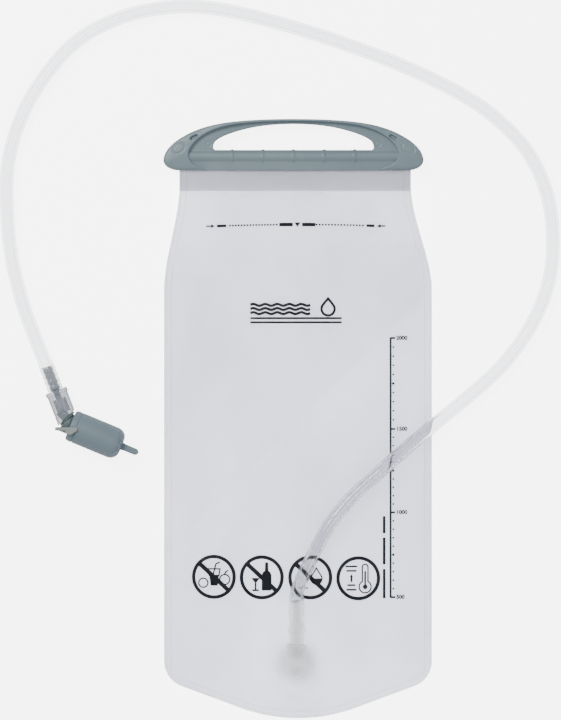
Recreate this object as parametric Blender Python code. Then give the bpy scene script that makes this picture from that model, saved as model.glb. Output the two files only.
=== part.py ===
"""A 2 litre hydration bladder lying on its back: film bag, slide-lock handle, hose and drinking valve.

Metres, with +Z up from the table, +Y towards the handle and the origin under the middle of the bag.
"""

import math

import bmesh
import bpy
from mathutils import Matrix, Vector

MM = 0.001

# Bag
FILM = 0.4 * MM
FILM_GAP = 0.3 * MM
LAYER = FILM + FILM_GAP
BAG_HALF_WIDTH = 94 * MM
NECK_HALF_WIDTH = 81 * MM
NECK_SHIFT = -2 * MM
NECK_START_Y, NECK_END_Y = 90 * MM, 165 * MM
CORNER_X, CORNER_Y, CORNER_RADIUS = 91 * MM, -179.6 * MM, 12 * MM
CORNER_BEND_X = 82 * MM
BOTTOM_Y = -209.7 * MM
BOTTOM_ARC_X, BOTTOM_ARC_RADIUS, BOTTOM_SLOPE = 38 * MM, 113 * MM, 0.37
BOTTOM_FADE = 120 * MM
SIDE_FLARE_Y, SIDE_FLARE = -169.6 * MM, 3 * MM
SEAM = 5.5 * MM
PUFF, PUFF_RUN, PUFF_TOP_RUN = 10 * MM, 22 * MM, 30 * MM
PUFF_TOP_Y = 168 * MM
LIFT_START_Y, LIFT_END_Y = 118 * MM, 171 * MM
FLAP_END_Y = 160 * MM

# Slide lock
AXIS_Y, AXIS_Z = 183.8 * MM, 6.5 * MM
ROD_RADIUS = 1.5 * MM
WRAP_RADIUS = 2.0 * MM
WRAP_LEAD = 45.6
WRAP_STEPS = 8
THROAT = 2.75 * MM
BORE_RADIUS = 3.25 * MM
SLOT_HALF_HEIGHT = 1.6 * MM
SLIDER_X = -3.2 * MM
SLIDER_THICK = 13 * MM
SLIDER_EDGE = 1.4 * MM
WEB_LOW, WEB_HIGH = 3.6 * MM, 9.4 * MM
CHANNEL_RADIUS = 4.85 * MM
CHANNEL_HALF_LENGTH = 75 * MM
SKIRT_HALF_HEIGHT = 3.6 * MM
RIB_RADIUS, RIB_WIDTH, RIB_PITCH, RIB_COUNT = 5.4 * MM, 0.9 * MM, 21.4 * MM, 5
BORE_END_X = 82.5 * MM
LOBE_SLOT = (69.5 * MM, 197.2 * MM, 5.8 * MM, 2.3 * MM, 28)
LOBE_SLOT_DEPTH = 2.6 * MM

# Half outlines of the slide lock: distance from its middle, then Y
SLIDER_OUTER = (
    (0, 210.1), (16, 209.9), (31, 209.2), (44, 208), (55, 206.2), (64, 203.8), (71, 201.1),
    (77, 198), (82, 194.8), (85.7, 191.6), (88.4, 188.4), (90.2, 185), (91, 181.6), (90.2, 178.6),
    (87.4, 176.2), (82.5, 174.6), (76, 174.3),
)
FINGER_OPENING = (
    (0, 206.9), (12, 206.5), (24, 205.2), (34, 203.2), (43, 200.6), (50, 197.8), (54.4, 195),
    (56, 192), (56, 189.6), (54.4, 188.2), (52, 188),
)
RECESS = (
    (0, 208.5), (16, 208.2), (31, 207.3), (44, 205.6), (54, 203), (62, 199.4), (68, 195),
    (72, 190), (73.4, 185.4), (72.2, 181), (68.6, 177.6), (63, 175.6), (62, 172),
)

# Outlet port
PORT_X, PORT_Y = -1 * MM, -170 * MM
FLANGE_RADIUS, FLANGE_THICK = 17 * MM, 1.2 * MM
PORT_FILM_Z = 8.1 * MM
PORT_FLAT, PORT_BLEND, PORT_BLEND_UP = 22 * MM, 33 * MM, 48 * MM
BOSS_RADIUS = 6.0 * MM
PORT_HOLE_RADIUS = BOSS_RADIUS + 0.35 * MM
SPIGOT_Z = 16 * MM
HOUSING_RADIUS = 6.65 * MM
HOUSING_BACK_Y, HOUSING_FRONT_Y = -180.3 * MM, -156.5 * MM
SPIGOT_TIP_Y = -125.7 * MM
PASSAGE_RADIUS = 2.2 * MM
PLUG_RADIUS = 4.3 * MM

# Hose: X, Y, Z of the points its middle line runs through
HOSE_RADIUS = 4.75 * MM
HOSE_STEP = 22 * MM
HOSE_LEAD = 5 * MM
HOSE_ROUTE = (
    (-1, -125.2, 16), (-0.9, -121.4, 16), (1.6, -113.5, 16.1), (9.2, -97, 16.3), (20.9, -74.6, 16.3),
    (37.8, -53.8, 15.9), (56, -37.2, 14.4), (75, -20.5, 10.9), (94, -4.6, 6.6), (112, 10, 4.9),
    (130.3, 25.4, 4.85), (147, 42.4, 4.85), (163, 65.3, 4.85), (174.6, 92.5, 4.85),
    (178.6, 121.9, 4.85), (175, 155.5, 4.85), (161.7, 186.1, 4.85), (139, 210.8, 4.85),
    (111.2, 229.6, 4.85), (70.8, 248.8, 4.85), (28.8, 264.5, 4.85), (-14, 277.8, 4.85),
    (-57.6, 287.8, 4.85), (-91, 288.6, 4.85), (-123.9, 281.5, 4.85), (-153.8, 265.8, 4.85),
    (-176.5, 241.4, 4.85), (-193.4, 212.5, 4.85), (-202.9, 180.2, 4.85), (-203.8, 146.6, 4.85),
    (-200.6, 113.2, 4.85), (-192.6, 80.6, 5.6), (-184.4, 58.4, 8.2),
)

# Drinking valve: its middle line bends at BEND, and its two halves turn on the mitre plane through PIVOT
BEND = Vector((-160.05, -3.15, 11.6)) * MM
BODY_AXIS = Vector((0.36, -0.933, 0)).normalized()
OUTLET_AXIS = Vector((0.923, -0.384, 0)).normalized()
MITRE_AXIS = (BODY_AXIS + OUTLET_AXIS).normalized()
PIVOT = BEND - BODY_AXIS * 4.9 * MM
ACROSS_MITRE = Vector((MITRE_AXIS.y, -MITRE_AXIS.x, 0))
BARB_TIP, COLLAR = -42.8 * MM, -25.1 * MM
STEM_RADIUS, SOCKET_RADIUS = 3.1 * MM, 3.4 * MM
CAP_START = BEND + OUTLET_AXIS * 1.5 * MM
CAP_LENGTH, CAP_RADIUS, CAP_WALL = 38.4 * MM, 11.15 * MM, 1.3 * MM
STRAP_LOW, STRAP_HIGH = 11.5 * MM, 12.6 * MM
STRAP_SIDES = (-4.25, -2.05)  # the strap's two edges in Y from the bend, in mm
STRAP_PAD = ((-0.6, -2.2), (6.9, -1.9), (7.3, -5.2), (1.4, -8.9), (-2.4, -6.3))  # from the bend, in mm
O_RINGS = (("stem_o_ring_inner", -4.6 * MM), ("stem_o_ring_outer", -2.2 * MM))

MATERIALS = {
    "slider_plastic": ((0.21, 0.28, 0.31), 0.42, 0.0),
    "clear_film": ((0.80, 0.82, 0.86), 0.35, 0.0),
    "rod_plastic": ((0.75, 0.76, 0.78), 0.40, 0.0),
    "port_plastic": ((0.78, 0.80, 0.82), 0.30, 0.0),
    "spigot_plastic": ((0.80, 0.82, 0.84), 0.25, 0.0),
    "hose_vinyl": ((0.76, 0.78, 0.80), 0.18, 0.0),
    "body_clear": ((0.62, 0.67, 0.72), 0.15, 0.0),
    "o_ring_rubber": ((0.06, 0.07, 0.08), 0.55, 0.0),
    "elbow_plastic": ((0.24, 0.31, 0.33), 0.38, 0.0),
    "retainer_silicone": ((0.46, 0.47, 0.44), 0.55, 0.0),
    "bite_silicone": ((0.70, 0.74, 0.76), 0.50, 0.0),
    "cap_plastic": ((0.20, 0.27, 0.30), 0.48, 0.0),
}


def clear_scene():
    for obj in list(bpy.data.objects):
        bpy.data.objects.remove(obj)


def material(name):
    found = bpy.data.materials.get(name)
    if found:
        return found
    colour, roughness, metallic = MATERIALS[name]
    made = bpy.data.materials.new(name)
    made.use_nodes = True
    shader = made.node_tree.nodes["Principled BSDF"]
    shader.inputs["Base Color"].default_value = (*colour, 1)
    shader.inputs["Roughness"].default_value = roughness
    shader.inputs["Metallic"].default_value = metallic
    made.diffuse_color = (*colour, 1)
    return made


def solid(name, points, faces, material_name=None, smooth=False):
    """An object from points and faces, with its faces turned outwards."""
    mesh = bpy.data.meshes.new(name)
    mesh.from_pydata([tuple(p) for p in points], [], faces)
    bm = bmesh.new()
    bm.from_mesh(mesh)
    bmesh.ops.recalc_face_normals(bm, faces=bm.faces)
    bm.to_mesh(mesh)
    bm.free()
    obj = bpy.data.objects.new(name, mesh)
    bpy.context.scene.collection.objects.link(obj)
    if material_name:
        mesh.materials.append(material(material_name))
    if smooth:
        mesh.shade_smooth()
    return obj


def combine(obj, tool, operation):
    """Cuts tool from obj or adds it, and removes tool."""
    modifier = obj.modifiers.new(operation, "BOOLEAN")
    modifier.operation = operation
    modifier.solver = "EXACT"
    modifier.object = tool
    bpy.context.view_layer.update()
    result = bpy.data.meshes.new_from_object(obj.evaluated_get(bpy.context.evaluated_depsgraph_get()))
    obj.modifiers.clear()
    obj.data = result
    bpy.data.objects.remove(tool)


def inset(outline, by):
    """The outline with each corner moved inwards along its bisector; the outline runs anticlockwise."""
    moved = []
    for i, (x, y) in enumerate(outline):
        before, after = Vector(outline[i - 1]), Vector(outline[(i + 1) % len(outline)])
        here = Vector((x, y))
        a, b = (here - before).normalized(), (after - here).normalized()
        bisector = (Vector((-a.y, a.x)) + Vector((-b.y, b.x))).normalized()
        moved.append(here + bisector * by)
    return moved


def prism(name, outline, low, high, edge=0.0, material_name=None):
    """The outline extruded from low to high, its top and bottom edges chamfered by edge."""
    levels = [(outline, low), (outline, high)]
    if edge:
        narrow = inset(outline, edge)
        levels = [(narrow, low), (outline, low + edge), (outline, high - edge), (narrow, high)]
    count = len(outline)
    points = [(x, y, z) for loop, z in levels for x, y in loop]
    faces = [list(range(count))[::-1], [count * (len(levels) - 1) + i for i in range(count)]]
    for level in range(len(levels) - 1):
        for i in range(count):
            j = (i + 1) % count
            base = level * count
            faces.append((base + i, base + j, base + count + j, base + count + i))
    return solid(name, points, faces, material_name)


def mirrored(half, middle_x):
    """A closed outline, anticlockwise, from half of it given from the top middle round the +X side."""
    right = [(middle_x + x * MM, y * MM) for x, y in half]
    left = [(middle_x - x * MM, y * MM) for x, y in half[1:]]
    return list(reversed(right)) + left


def turned(name, start, axis, profile, segments=24, material_name=None, closed=False):
    """A body of revolution about the axis; profile is (distance along, radius) pairs.

    A closed profile is a ring's section. Otherwise both its ends lie on the axis.
    """
    side = axis.cross(Vector((0, 0, 1)))
    side = side.normalized() if side.length > 0.1 else Vector((1, 0, 0))
    up = axis.cross(side)
    points, rings = [], []
    for along, radius in profile:
        if radius == 0:
            rings.append([len(points)] * segments)
            points.append(start + axis * along)
            continue
        rings.append(list(range(len(points), len(points) + segments)))
        for i in range(segments):
            angle = 2 * math.pi * i / segments
            points.append(start + axis * along + (side * math.cos(angle) + up * math.sin(angle)) * radius)
    faces = []
    pairs = list(zip(rings, rings[1:])) + ([(rings[-1], rings[0])] if closed else [])
    for one, two in pairs:
        for i in range(segments):
            j = (i + 1) % segments
            corners = list(dict.fromkeys((one[i], one[j], two[j], two[i])))
            if len(corners) > 2:
                faces.append(corners)
    return solid(name, points, faces, material_name, smooth=True)


def smoothstep(low, high, value):
    t = min(max((value - low) / (high - low), 0), 1)
    return t * t * (3 - 2 * t)


# ---------------------------------------------------------------- bag


def half_width(y):
    """Half of the bag's width at this height along its side."""
    flare = max(SIDE_FLARE_Y - y, 0) / (SIDE_FLARE_Y - CORNER_Y)
    neck = (BAG_HALF_WIDTH - NECK_HALF_WIDTH) * smoothstep(NECK_START_Y, NECK_END_Y, y)
    return BAG_HALF_WIDTH - neck - SIDE_FLARE * flare**2


def bottom_edge(x):
    """Y of the bag's bottom edge: an arc, then a straight slope, then the rounded corner."""
    x = min(abs(x), CORNER_X)
    arc_x = min(x, BOTTOM_ARC_X)
    corner_x = max(x - CORNER_BEND_X, 0)
    corner = CORNER_RADIUS - math.sqrt(CORNER_RADIUS**2 - corner_x**2)
    return BOTTOM_Y + arc_x**2 / (2 * BOTTOM_ARC_RADIUS) + (x - arc_x) * BOTTOM_SLOPE + corner


def neck_lift(y):
    """How far the closed mouth stands off the table, up to the slide lock's channel."""
    return (AXIS_Z + LAYER / 2 - FILM / 2) * smoothstep(LIFT_START_Y, LIFT_END_Y, y)


def middle_x(y):
    return NECK_SHIFT * smoothstep(NECK_START_Y, NECK_END_Y, y)


def panel_point(across, side_y):
    """X and Y of a point of the flat pattern: across runs from -1 to 1 and side_y up the bag's edge."""
    x = across * half_width(side_y)
    run = min((side_y - CORNER_Y) / BOTTOM_FADE, 1)
    sag = bottom_edge(across * CORNER_X) - CORNER_Y
    return x + middle_x(side_y), side_y + sag * (1 - run**2) ** 2


def puff(across, side_y):
    """Height of the front film over the back one, beyond their flat gap."""
    x, y = panel_point(across, side_y)
    from_side = max((1 - abs(across)) * half_width(side_y) - SEAM, 0)
    from_bottom = max(y - bottom_edge(x) - SEAM, 0)
    from_top = max(PUFF_TOP_Y - y, 0)
    height = PUFF
    for distance, run in ((from_side, PUFF_RUN), (from_bottom, PUFF_RUN), (from_top, PUFF_TOP_RUN)):
        height *= 1 - math.exp(-distance / run)
    return height


def front_z(across, side_y):
    """Middle height of the front film, held flat by the port's flange near it."""
    x, y = panel_point(across, side_y)
    domed = FILM / 2 + LAYER + neck_lift(y) + puff(across, side_y)
    away = math.hypot(x - PORT_X, y - PORT_Y)
    upward = max(y - PORT_Y, 0) / max(away, MM)
    reach = PORT_BLEND + (PORT_BLEND_UP - PORT_BLEND) * upward
    return domed + (PORT_FILM_Z - domed) * (1 - smoothstep(PORT_FLAT, reach, away))


def fold_path(offset):
    """(Y, Z) points from the channel's mouth round the rod and back out to the flap's end.

    offset is 0 for the back film, which lies next to the rod, and LAYER for the front film.
    """
    radius = WRAP_RADIUS + offset
    level = LAYER / 2 + offset
    lead = math.radians(WRAP_LEAD)
    throat = THROAT - (LAYER - offset) * math.tan(lead / 2)
    upper = [(AXIS_Y - throat, AXIS_Z + level)]
    sweep = 2 * (math.pi / 2 + lead)
    for i in range(WRAP_STEPS + 1):
        angle = math.pi / 2 + lead - sweep * i / WRAP_STEPS
        upper.append((AXIS_Y + radius * math.cos(angle), AXIS_Z + radius * math.sin(angle)))
    upper.append((AXIS_Y - throat, AXIS_Z - level))
    drop = 2 * level
    for y in (LIFT_END_Y + 2 * MM, (LIFT_END_Y + FLAP_END_Y) / 2, FLAP_END_Y):
        upper.append((y, AXIS_Z + level - drop - (neck_lift(LIFT_END_Y) - neck_lift(y))))
    return upper


def film_sheet(name, columns, side_rows, height, offset):
    """A film as a closed thin solid: its panel, its neck and its fold round the rod."""
    middle = []
    for side_y in side_rows:
        row = []
        for across in columns:
            x, y = panel_point(across, side_y)
            row.append(Vector((x, y, height(across, side_y))))
        middle.append(row)
    for y, z in fold_path(offset):
        middle.append([Vector((NECK_SHIFT + across * NECK_HALF_WIDTH, y, z)) for across in columns])
    rows, width = len(middle), len(columns)
    upper, lower = [], []
    for i in range(rows):
        for j in range(width):
            along = middle[min(i + 1, rows - 1)][j] - middle[max(i - 1, 0)][j]
            over = middle[i][min(j + 1, width - 1)] - middle[i][max(j - 1, 0)]
            normal = over.cross(along).normalized() * (FILM / 2)
            upper.append(middle[i][j] + normal)
            lower.append(middle[i][j] - normal)
    count = rows * width
    faces = []
    for i in range(rows - 1):
        for j in range(width - 1):
            a = i * width + j
            corners = (a, a + 1, a + width + 1, a + width)
            faces += [corners, tuple(count + c for c in reversed(corners))]
    rim = list(range(width)) + [i * width + width - 1 for i in range(1, rows)]
    rim += [(rows - 1) * width + j for j in range(width - 2, -1, -1)]
    rim += [i * width for i in range(rows - 2, 0, -1)]
    for here, there in zip(rim, rim[1:] + rim[:1]):
        faces.append((here, count + here, count + there, there))
    return solid(name, upper + lower, faces, "clear_film", smooth=True)


def mirror_columns(half):
    return [-u for u in reversed(half) if u] + list(half)


def make_films():
    neck_rows = [y * MM for y in (118, 130, 142, 154, 164, 173)]
    back_rows = [CORNER_Y] + [y * MM for y in (-150, -110, -50, 20, 85, 104)] + neck_rows
    film_sheet("back_film", mirror_columns((0, 0.25, 0.5, 0.75, 1)), back_rows,
               lambda across, y: FILM / 2 + neck_lift(y), 0)
    front_rows = [CORNER_Y, CORNER_Y + SEAM] + [
        y * MM for y in (-169, -162.5, -155, -147, -138, -128, -115, -95, -65, -25, 20, 60, 85, 104)
    ] + neck_rows
    front_columns = mirror_columns((0, 0.09, 0.19, 0.3, 0.43, 0.58, 0.72, 0.83, 0.9, 0.942, 1))
    front = film_sheet("front_film", front_columns, front_rows, front_z, LAYER)
    hole = turned("hole", Vector((PORT_X, PORT_Y, PORT_FILM_Z - 3 * MM)), Vector((0, 0, 1)),
                  [(0, 0), (0, PORT_HOLE_RADIUS), (6 * MM, PORT_HOLE_RADIUS), (6 * MM, 0)])
    combine(front, hole, "DIFFERENCE")


def make_rod():
    length = 2 * NECK_HALF_WIDTH
    turned("closure_rod", Vector((NECK_SHIFT - NECK_HALF_WIDTH, AXIS_Y, AXIS_Z)), Vector((1, 0, 0)),
           [(0, 0), (0, ROD_RADIUS), (length, ROD_RADIUS), (length, 0)], 16, "rod_plastic")


# ---------------------------------------------------------------- slide lock


def box(name, low, high):
    (x0, y0, z0), (x1, y1, z1) = low, high
    return prism(name, [(x0, y0), (x1, y0), (x1, y1), (x0, y1)], z0, z1)


def ribbed_channel(x0, x1):
    """The tube that the fold lies in, with its ribs."""
    profile = [(0, 0), (0, CHANNEL_RADIUS)]
    for i in range(RIB_COUNT):
        middle = (x1 - x0) / 2 + (i - (RIB_COUNT - 1) / 2) * RIB_PITCH
        for along, radius in ((-RIB_WIDTH, CHANNEL_RADIUS), (-RIB_WIDTH / 2, RIB_RADIUS),
                              (RIB_WIDTH / 2, RIB_RADIUS), (RIB_WIDTH, CHANNEL_RADIUS)):
            profile.append((middle + along, radius))
    profile += [(x1 - x0, CHANNEL_RADIUS), (x1 - x0, 0)]
    return turned("channel", Vector((x0, AXIS_Y, AXIS_Z)), Vector((1, 0, 0)), profile)


def keyhole(x0, x1):
    """The bore and the slot below it, as one cutter along X."""
    opening = math.asin(SLOT_HALF_HEIGHT / BORE_RADIUS)
    outline = [(AXIS_Y - 20 * MM, AXIS_Z + SLOT_HALF_HEIGHT), (AXIS_Y - 20 * MM, AXIS_Z - SLOT_HALF_HEIGHT)]
    steps = 18
    for i in range(steps + 1):
        angle = -math.pi + opening + 2 * (math.pi - opening) * i / steps
        outline.append((AXIS_Y + BORE_RADIUS * math.cos(angle), AXIS_Z + BORE_RADIUS * math.sin(angle)))
    count = len(outline)
    points = [(x, y, z) for x in (x0, x1) for y, z in outline]
    faces = [list(range(count)), list(range(2 * count - 1, count - 1, -1))]
    faces += [(i, (i + 1) % count, count + (i + 1) % count, count + i) for i in range(count)]
    return solid("keyhole", points, faces)


def make_slider():
    slider = prism("slider", mirrored(SLIDER_OUTER, SLIDER_X), 0, SLIDER_THICK, SLIDER_EDGE, "slider_plastic")
    recess = mirrored(RECESS, SLIDER_X)
    combine(slider, prism("front_recess", recess, WEB_HIGH, SLIDER_THICK + MM), "DIFFERENCE")
    combine(slider, prism("back_recess", recess, -MM, WEB_LOW), "DIFFERENCE")
    left, right = SLIDER_X - CHANNEL_HALF_LENGTH, SLIDER_X + CHANNEL_HALF_LENGTH
    combine(slider, prism("opening", mirrored(FINGER_OPENING, SLIDER_X), -MM, SLIDER_THICK + MM), "DIFFERENCE")
    combine(slider, ribbed_channel(left, right), "UNION")
    skirt = box("skirt", (left, SLIDER_OUTER[-1][1] * MM, AXIS_Z - SKIRT_HALF_HEIGHT),
                (right, AXIS_Y, AXIS_Z + SKIRT_HALF_HEIGHT))
    combine(slider, skirt, "UNION")
    far_left = SLIDER_X - 100 * MM
    combine(slider, keyhole(far_left, BORE_END_X), "DIFFERENCE")
    from_middle, y, length, width, tilt = LOBE_SLOT
    for side in (-1, 1):
        outline = stadium(SLIDER_X + side * from_middle, y, length, width, -side * tilt)
        pocket = prism("lobe_slot", outline, SLIDER_THICK - LOBE_SLOT_DEPTH, SLIDER_THICK + MM)
        combine(slider, pocket, "DIFFERENCE")


def stadium(x, y, length, width, tilt):
    """Outline of a slot with round ends, turned by tilt degrees."""
    turn, radius, steps = math.radians(tilt), width / 2, 5
    outline = []
    for end in (1, -1):
        for i in range(steps + 1):
            angle = math.pi * (i / steps - 0.5)
            across = end * (length / 2 - radius + radius * math.cos(angle))
            above = end * radius * math.sin(angle)
            outline.append((x + across * math.cos(turn) - above * math.sin(turn),
                            y + across * math.sin(turn) + above * math.cos(turn)))
    return outline


# ---------------------------------------------------------------- outlet port and hose


def make_port():
    """Flange under the film, boss through it and the elbow housing above, with an open passage."""
    top = PORT_FILM_Z - FILM / 2 - FILM_GAP
    up, forward = Vector((0, 0, 1)), Vector((0, 1, 0))
    foot = Vector((PORT_X, PORT_Y, top - FLANGE_THICK))
    boss_top = SPIGOT_Z - foot.z - 1.3 * MM
    port = turned("outlet_port", foot, up, [
        (0, 0), (0, FLANGE_RADIUS), (FLANGE_THICK, FLANGE_RADIUS), (FLANGE_THICK, BOSS_RADIUS),
        (boss_top, BOSS_RADIUS), (boss_top, 0),
    ], 32, "port_plastic")
    back = Vector((PORT_X, HOUSING_BACK_Y, SPIGOT_Z))
    radius, length = HOUSING_RADIUS, HOUSING_FRONT_Y - HOUSING_BACK_Y
    nose = [(radius * (1 - math.cos(a)), radius * math.sin(a)) for a in (0.45, 0.9, 1.3)]
    housing = turned("housing", back, forward,
                     [(0, 0)] + nose + [(radius, radius), (length, radius), (length, 0)])
    combine(port, housing, "UNION")
    plug_room = length - 9 * MM
    combine(port, turned("inlet", foot - up * MM, up, [
        (0, 0), (0, PASSAGE_RADIUS + MM), (boss_top + 2 * MM, PASSAGE_RADIUS + MM), (boss_top + 2 * MM, 0)], 16),
        "DIFFERENCE")
    combine(port, turned("socket", back + forward * 7.2 * MM, forward, [
        (0, 0), (0, PASSAGE_RADIUS), (plug_room - 7.2 * MM, PASSAGE_RADIUS),
        (plug_room - 7.2 * MM, PLUG_RADIUS + 0.3 * MM), (plug_room + 5 * MM, PLUG_RADIUS + 0.3 * MM),
        (plug_room + 5 * MM, 0)]), "DIFFERENCE")


def make_spigot():
    """Plug, neck, collar and three barbs, hollow all the way."""
    forward = Vector((0, 1, 0))
    start = Vector((PORT_X, HOUSING_FRONT_Y - 8 * MM, SPIGOT_Z))
    tip = SPIGOT_TIP_Y - start.y
    outside = [(0, PLUG_RADIUS), (8.3 * MM, PLUG_RADIUS), (8.3 * MM, 5.4 * MM), (16.3 * MM, 5.4 * MM),
               (16.3 * MM, 6.3 * MM), (20.4 * MM, 6.3 * MM), (20.4 * MM, 2.9 * MM)]
    for back in (14.4 * MM, 9.6 * MM, 4.8 * MM):
        outside += [(tip - back, 2.9 * MM), (tip - back, 3.5 * MM), (tip - back + 4.2 * MM, 2.9 * MM)]
    outside += [(tip, 2.9 * MM)]
    turned("hose_spigot", start, forward, outside + [(tip, PASSAGE_RADIUS), (0, PASSAGE_RADIUS)],
           20, "spigot_plastic", closed=True)


def along_valve(distance):
    return BEND + BODY_AXIS * distance


def smooth_route(points, step):
    """Points every step along a smooth curve through the given ones, both ends included."""
    dense = []
    for i in range(len(points) - 1):
        p0, p1 = points[max(i - 1, 0)], points[i]
        p2, p3 = points[i + 1], points[min(i + 2, len(points) - 1)]
        for k in range(12):
            t = k / 12
            dense.append(0.5 * (2 * p1 + (p2 - p0) * t + (2 * p0 - 5 * p1 + 4 * p2 - p3) * t**2
                                + (3 * p1 - p0 - 3 * p2 + p3) * t**3))
    dense.append(points[-1])
    lengths = [0]
    for one, two in zip(dense, dense[1:]):
        lengths.append(lengths[-1] + (two - one).length)
    count = round(lengths[-1] / step)
    route, at = [], 0
    for i in range(count + 1):
        want = lengths[-1] * i / count
        while at < len(dense) - 2 and lengths[at + 1] < want:
            at += 1
        part = (want - lengths[at]) / (lengths[at + 1] - lengths[at])
        route.append(dense[at].lerp(dense[at + 1], part))
    return route


def make_hose():
    points = [Vector(p) * MM for p in HOSE_ROUTE]
    points.append(along_valve(BARB_TIP - 8 * MM))
    points.append(along_valve(BARB_TIP - 0.3 * MM))
    data = bpy.data.curves.new("hose", "CURVE")
    data.dimensions = "3D"
    spline = data.splines.new("POLY")
    route = smooth_route(points, HOSE_STEP)
    # Short straight leads keep both end faces square to what they meet.
    route.insert(1, points[0] + Vector((0, HOSE_LEAD, 0)))
    route.insert(-1, points[-1] - BODY_AXIS * HOSE_LEAD)
    spline.points.add(len(route) - 1)
    for point, place in zip(spline.points, route):
        point.co = (*place, 1)
    data.bevel_depth = HOSE_RADIUS
    data.bevel_resolution = 2
    data.use_fill_caps = True
    data.materials.append(material("hose_vinyl"))
    hose = bpy.data.objects.new("hose", data)
    bpy.context.scene.collection.objects.link(hose)


# ---------------------------------------------------------------- drinking valve


def make_valve_body():
    """Clear body: four barbs for the hose, a collar and a sleeve cut off at the mitre plane."""
    outside = [(BARB_TIP, 0)]
    for i in range(4):
        back = BARB_TIP + i * 4.3 * MM
        outside += [(back, 2.9 * MM), (back + 3.6 * MM, 3.6 * MM), (back + 3.6 * MM, 2.9 * MM)]
    outside += [(COLLAR, 2.9 * MM), (COLLAR, 7.85 * MM), (COLLAR + 2.8 * MM, 7.85 * MM),
                (COLLAR + 2.8 * MM, 7.3 * MM), (4 * MM, 7.3 * MM), (4 * MM, 0)]
    body = turned("valve_body", BEND, BODY_AXIS, outside, 24, "body_clear")
    combine(body, rod_tool(PIVOT, MITRE_AXIS, 0, 30 * MM, 25 * MM), "DIFFERENCE")
    combine(body, rod_tool(BEND, BODY_AXIS, BARB_TIP - MM, -8.9 * MM, PASSAGE_RADIUS, 16), "DIFFERENCE")
    combine(body, rod_tool(PIVOT, MITRE_AXIS, -6.5 * MM, MM, SOCKET_RADIUS, 20), "DIFFERENCE")


def rod_tool(start, axis, low, high, radius, segments=24):
    return turned("tool", start, axis, [(low, 0), (low, radius), (high, radius), (high, 0)], segments)


def make_outlet_elbow():
    """Stem with two ring grooves, flange on the mitre plane and the outlet that carries the mouthpiece."""
    stem = [(-6.1 * MM, 0), (-6.1 * MM, STEM_RADIUS)]
    for _, groove in O_RINGS:
        stem += [(groove - 0.7 * MM, STEM_RADIUS), (groove - 0.7 * MM, 2.1 * MM),
                 (groove + 0.7 * MM, 2.1 * MM), (groove + 0.7 * MM, STEM_RADIUS)]
    stem += [(0.3 * MM, STEM_RADIUS), (0.3 * MM, 6.6 * MM), (1.5 * MM, 6.6 * MM), (1.5 * MM, 5.3 * MM),
             (4 * MM, 5.3 * MM), (4 * MM, 0)]
    elbow = turned("outlet_elbow", PIVOT, MITRE_AXIS, stem, 24, "elbow_plastic")
    outlet = turned("outlet", BEND, OUTLET_AXIS, [
        (-1.4 * MM, 0), (-1.4 * MM, 5.4 * MM), (8.4 * MM, 5.4 * MM), (8.4 * MM, 4.4 * MM),
        (20 * MM, 4.4 * MM), (20 * MM, 0)])
    combine(elbow, outlet, "UNION")
    combine(elbow, rod_tool(BEND, OUTLET_AXIS, -0.4 * MM, 22 * MM, 2.4 * MM, 16), "DIFFERENCE")
    combine(elbow, rod_tool(PIVOT, MITRE_AXIS, -8 * MM, 4.6 * MM, 1.4 * MM, 14), "DIFFERENCE")


def make_o_rings():
    thick = 0.5 * MM
    for name, along in O_RINGS:
        section = [(along + thick * math.cos(a), 2.75 * MM + thick * math.sin(a))
                   for a in (math.radians(60 * k) for k in range(6))]
        turned(name, PIVOT, MITRE_AXIS, section, 20, "o_ring_rubber", closed=True)


def make_bite_valve():
    """Silicone mouthpiece over the outlet's end, with a closed, domed tip."""
    start = BEND + OUTLET_AXIS * 8.8 * MM
    turned("bite_valve", start, OUTLET_AXIS, [
        (0, 7.6 * MM), (2 * MM, 8.6 * MM), (9 * MM, 8.6 * MM), (13 * MM, 7 * MM), (20 * MM, 6.8 * MM),
        (25 * MM, 5.4 * MM), (26.6 * MM, 3 * MM), (27 * MM, 0), (24.8 * MM, 0), (24 * MM, 3 * MM),
        (11.5 * MM, 4.7 * MM), (0, 4.7 * MM),
    ], 20, "bite_silicone", closed=True)


def make_dust_cap():
    """Round-ended cap, open towards the elbow, with its flat pull tab."""
    wall, radius, length = CAP_WALL, CAP_RADIUS, CAP_LENGTH
    cap = turned("dust_cap", CAP_START, OUTLET_AXIS, [
        (0, radius - wall), (0, radius - 0.7 * MM), (0.7 * MM, radius), (length - 5.5 * MM, radius),
        (length - 2.9 * MM, radius - 0.9 * MM), (length - 1 * MM, radius - 2.8 * MM),
        (length, radius - 5.4 * MM), (length, 0), (length - wall, 0),
        (length - wall, radius - 5.8 * MM), (length - 3.6 * MM, radius - 2.4 * MM),
        (length - 6 * MM, radius - wall),
    ], 28, "cap_plastic", closed=True)
    side = OUTLET_AXIS.cross(Vector((0, 0, 1)))
    start = CAP_START + OUTLET_AXIS * (length - 0.8 * MM)
    outline = [(0, -3.2), (0, 3.2), (3, 2.4), (11.2, 2.3), (13, 1.5), (13.5, 0), (13, -1.5), (11.2, -2.3),
               (3, -2.4)]
    flat = [start + OUTLET_AXIS * a * MM + side * b * MM for a, b in outline]
    tab = prism("tab", [(p.x, p.y) for p in flat], BEND.z - 1.4 * MM, BEND.z + 1.4 * MM, 0.5 * MM)
    combine(cap, tab, "UNION")


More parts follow.
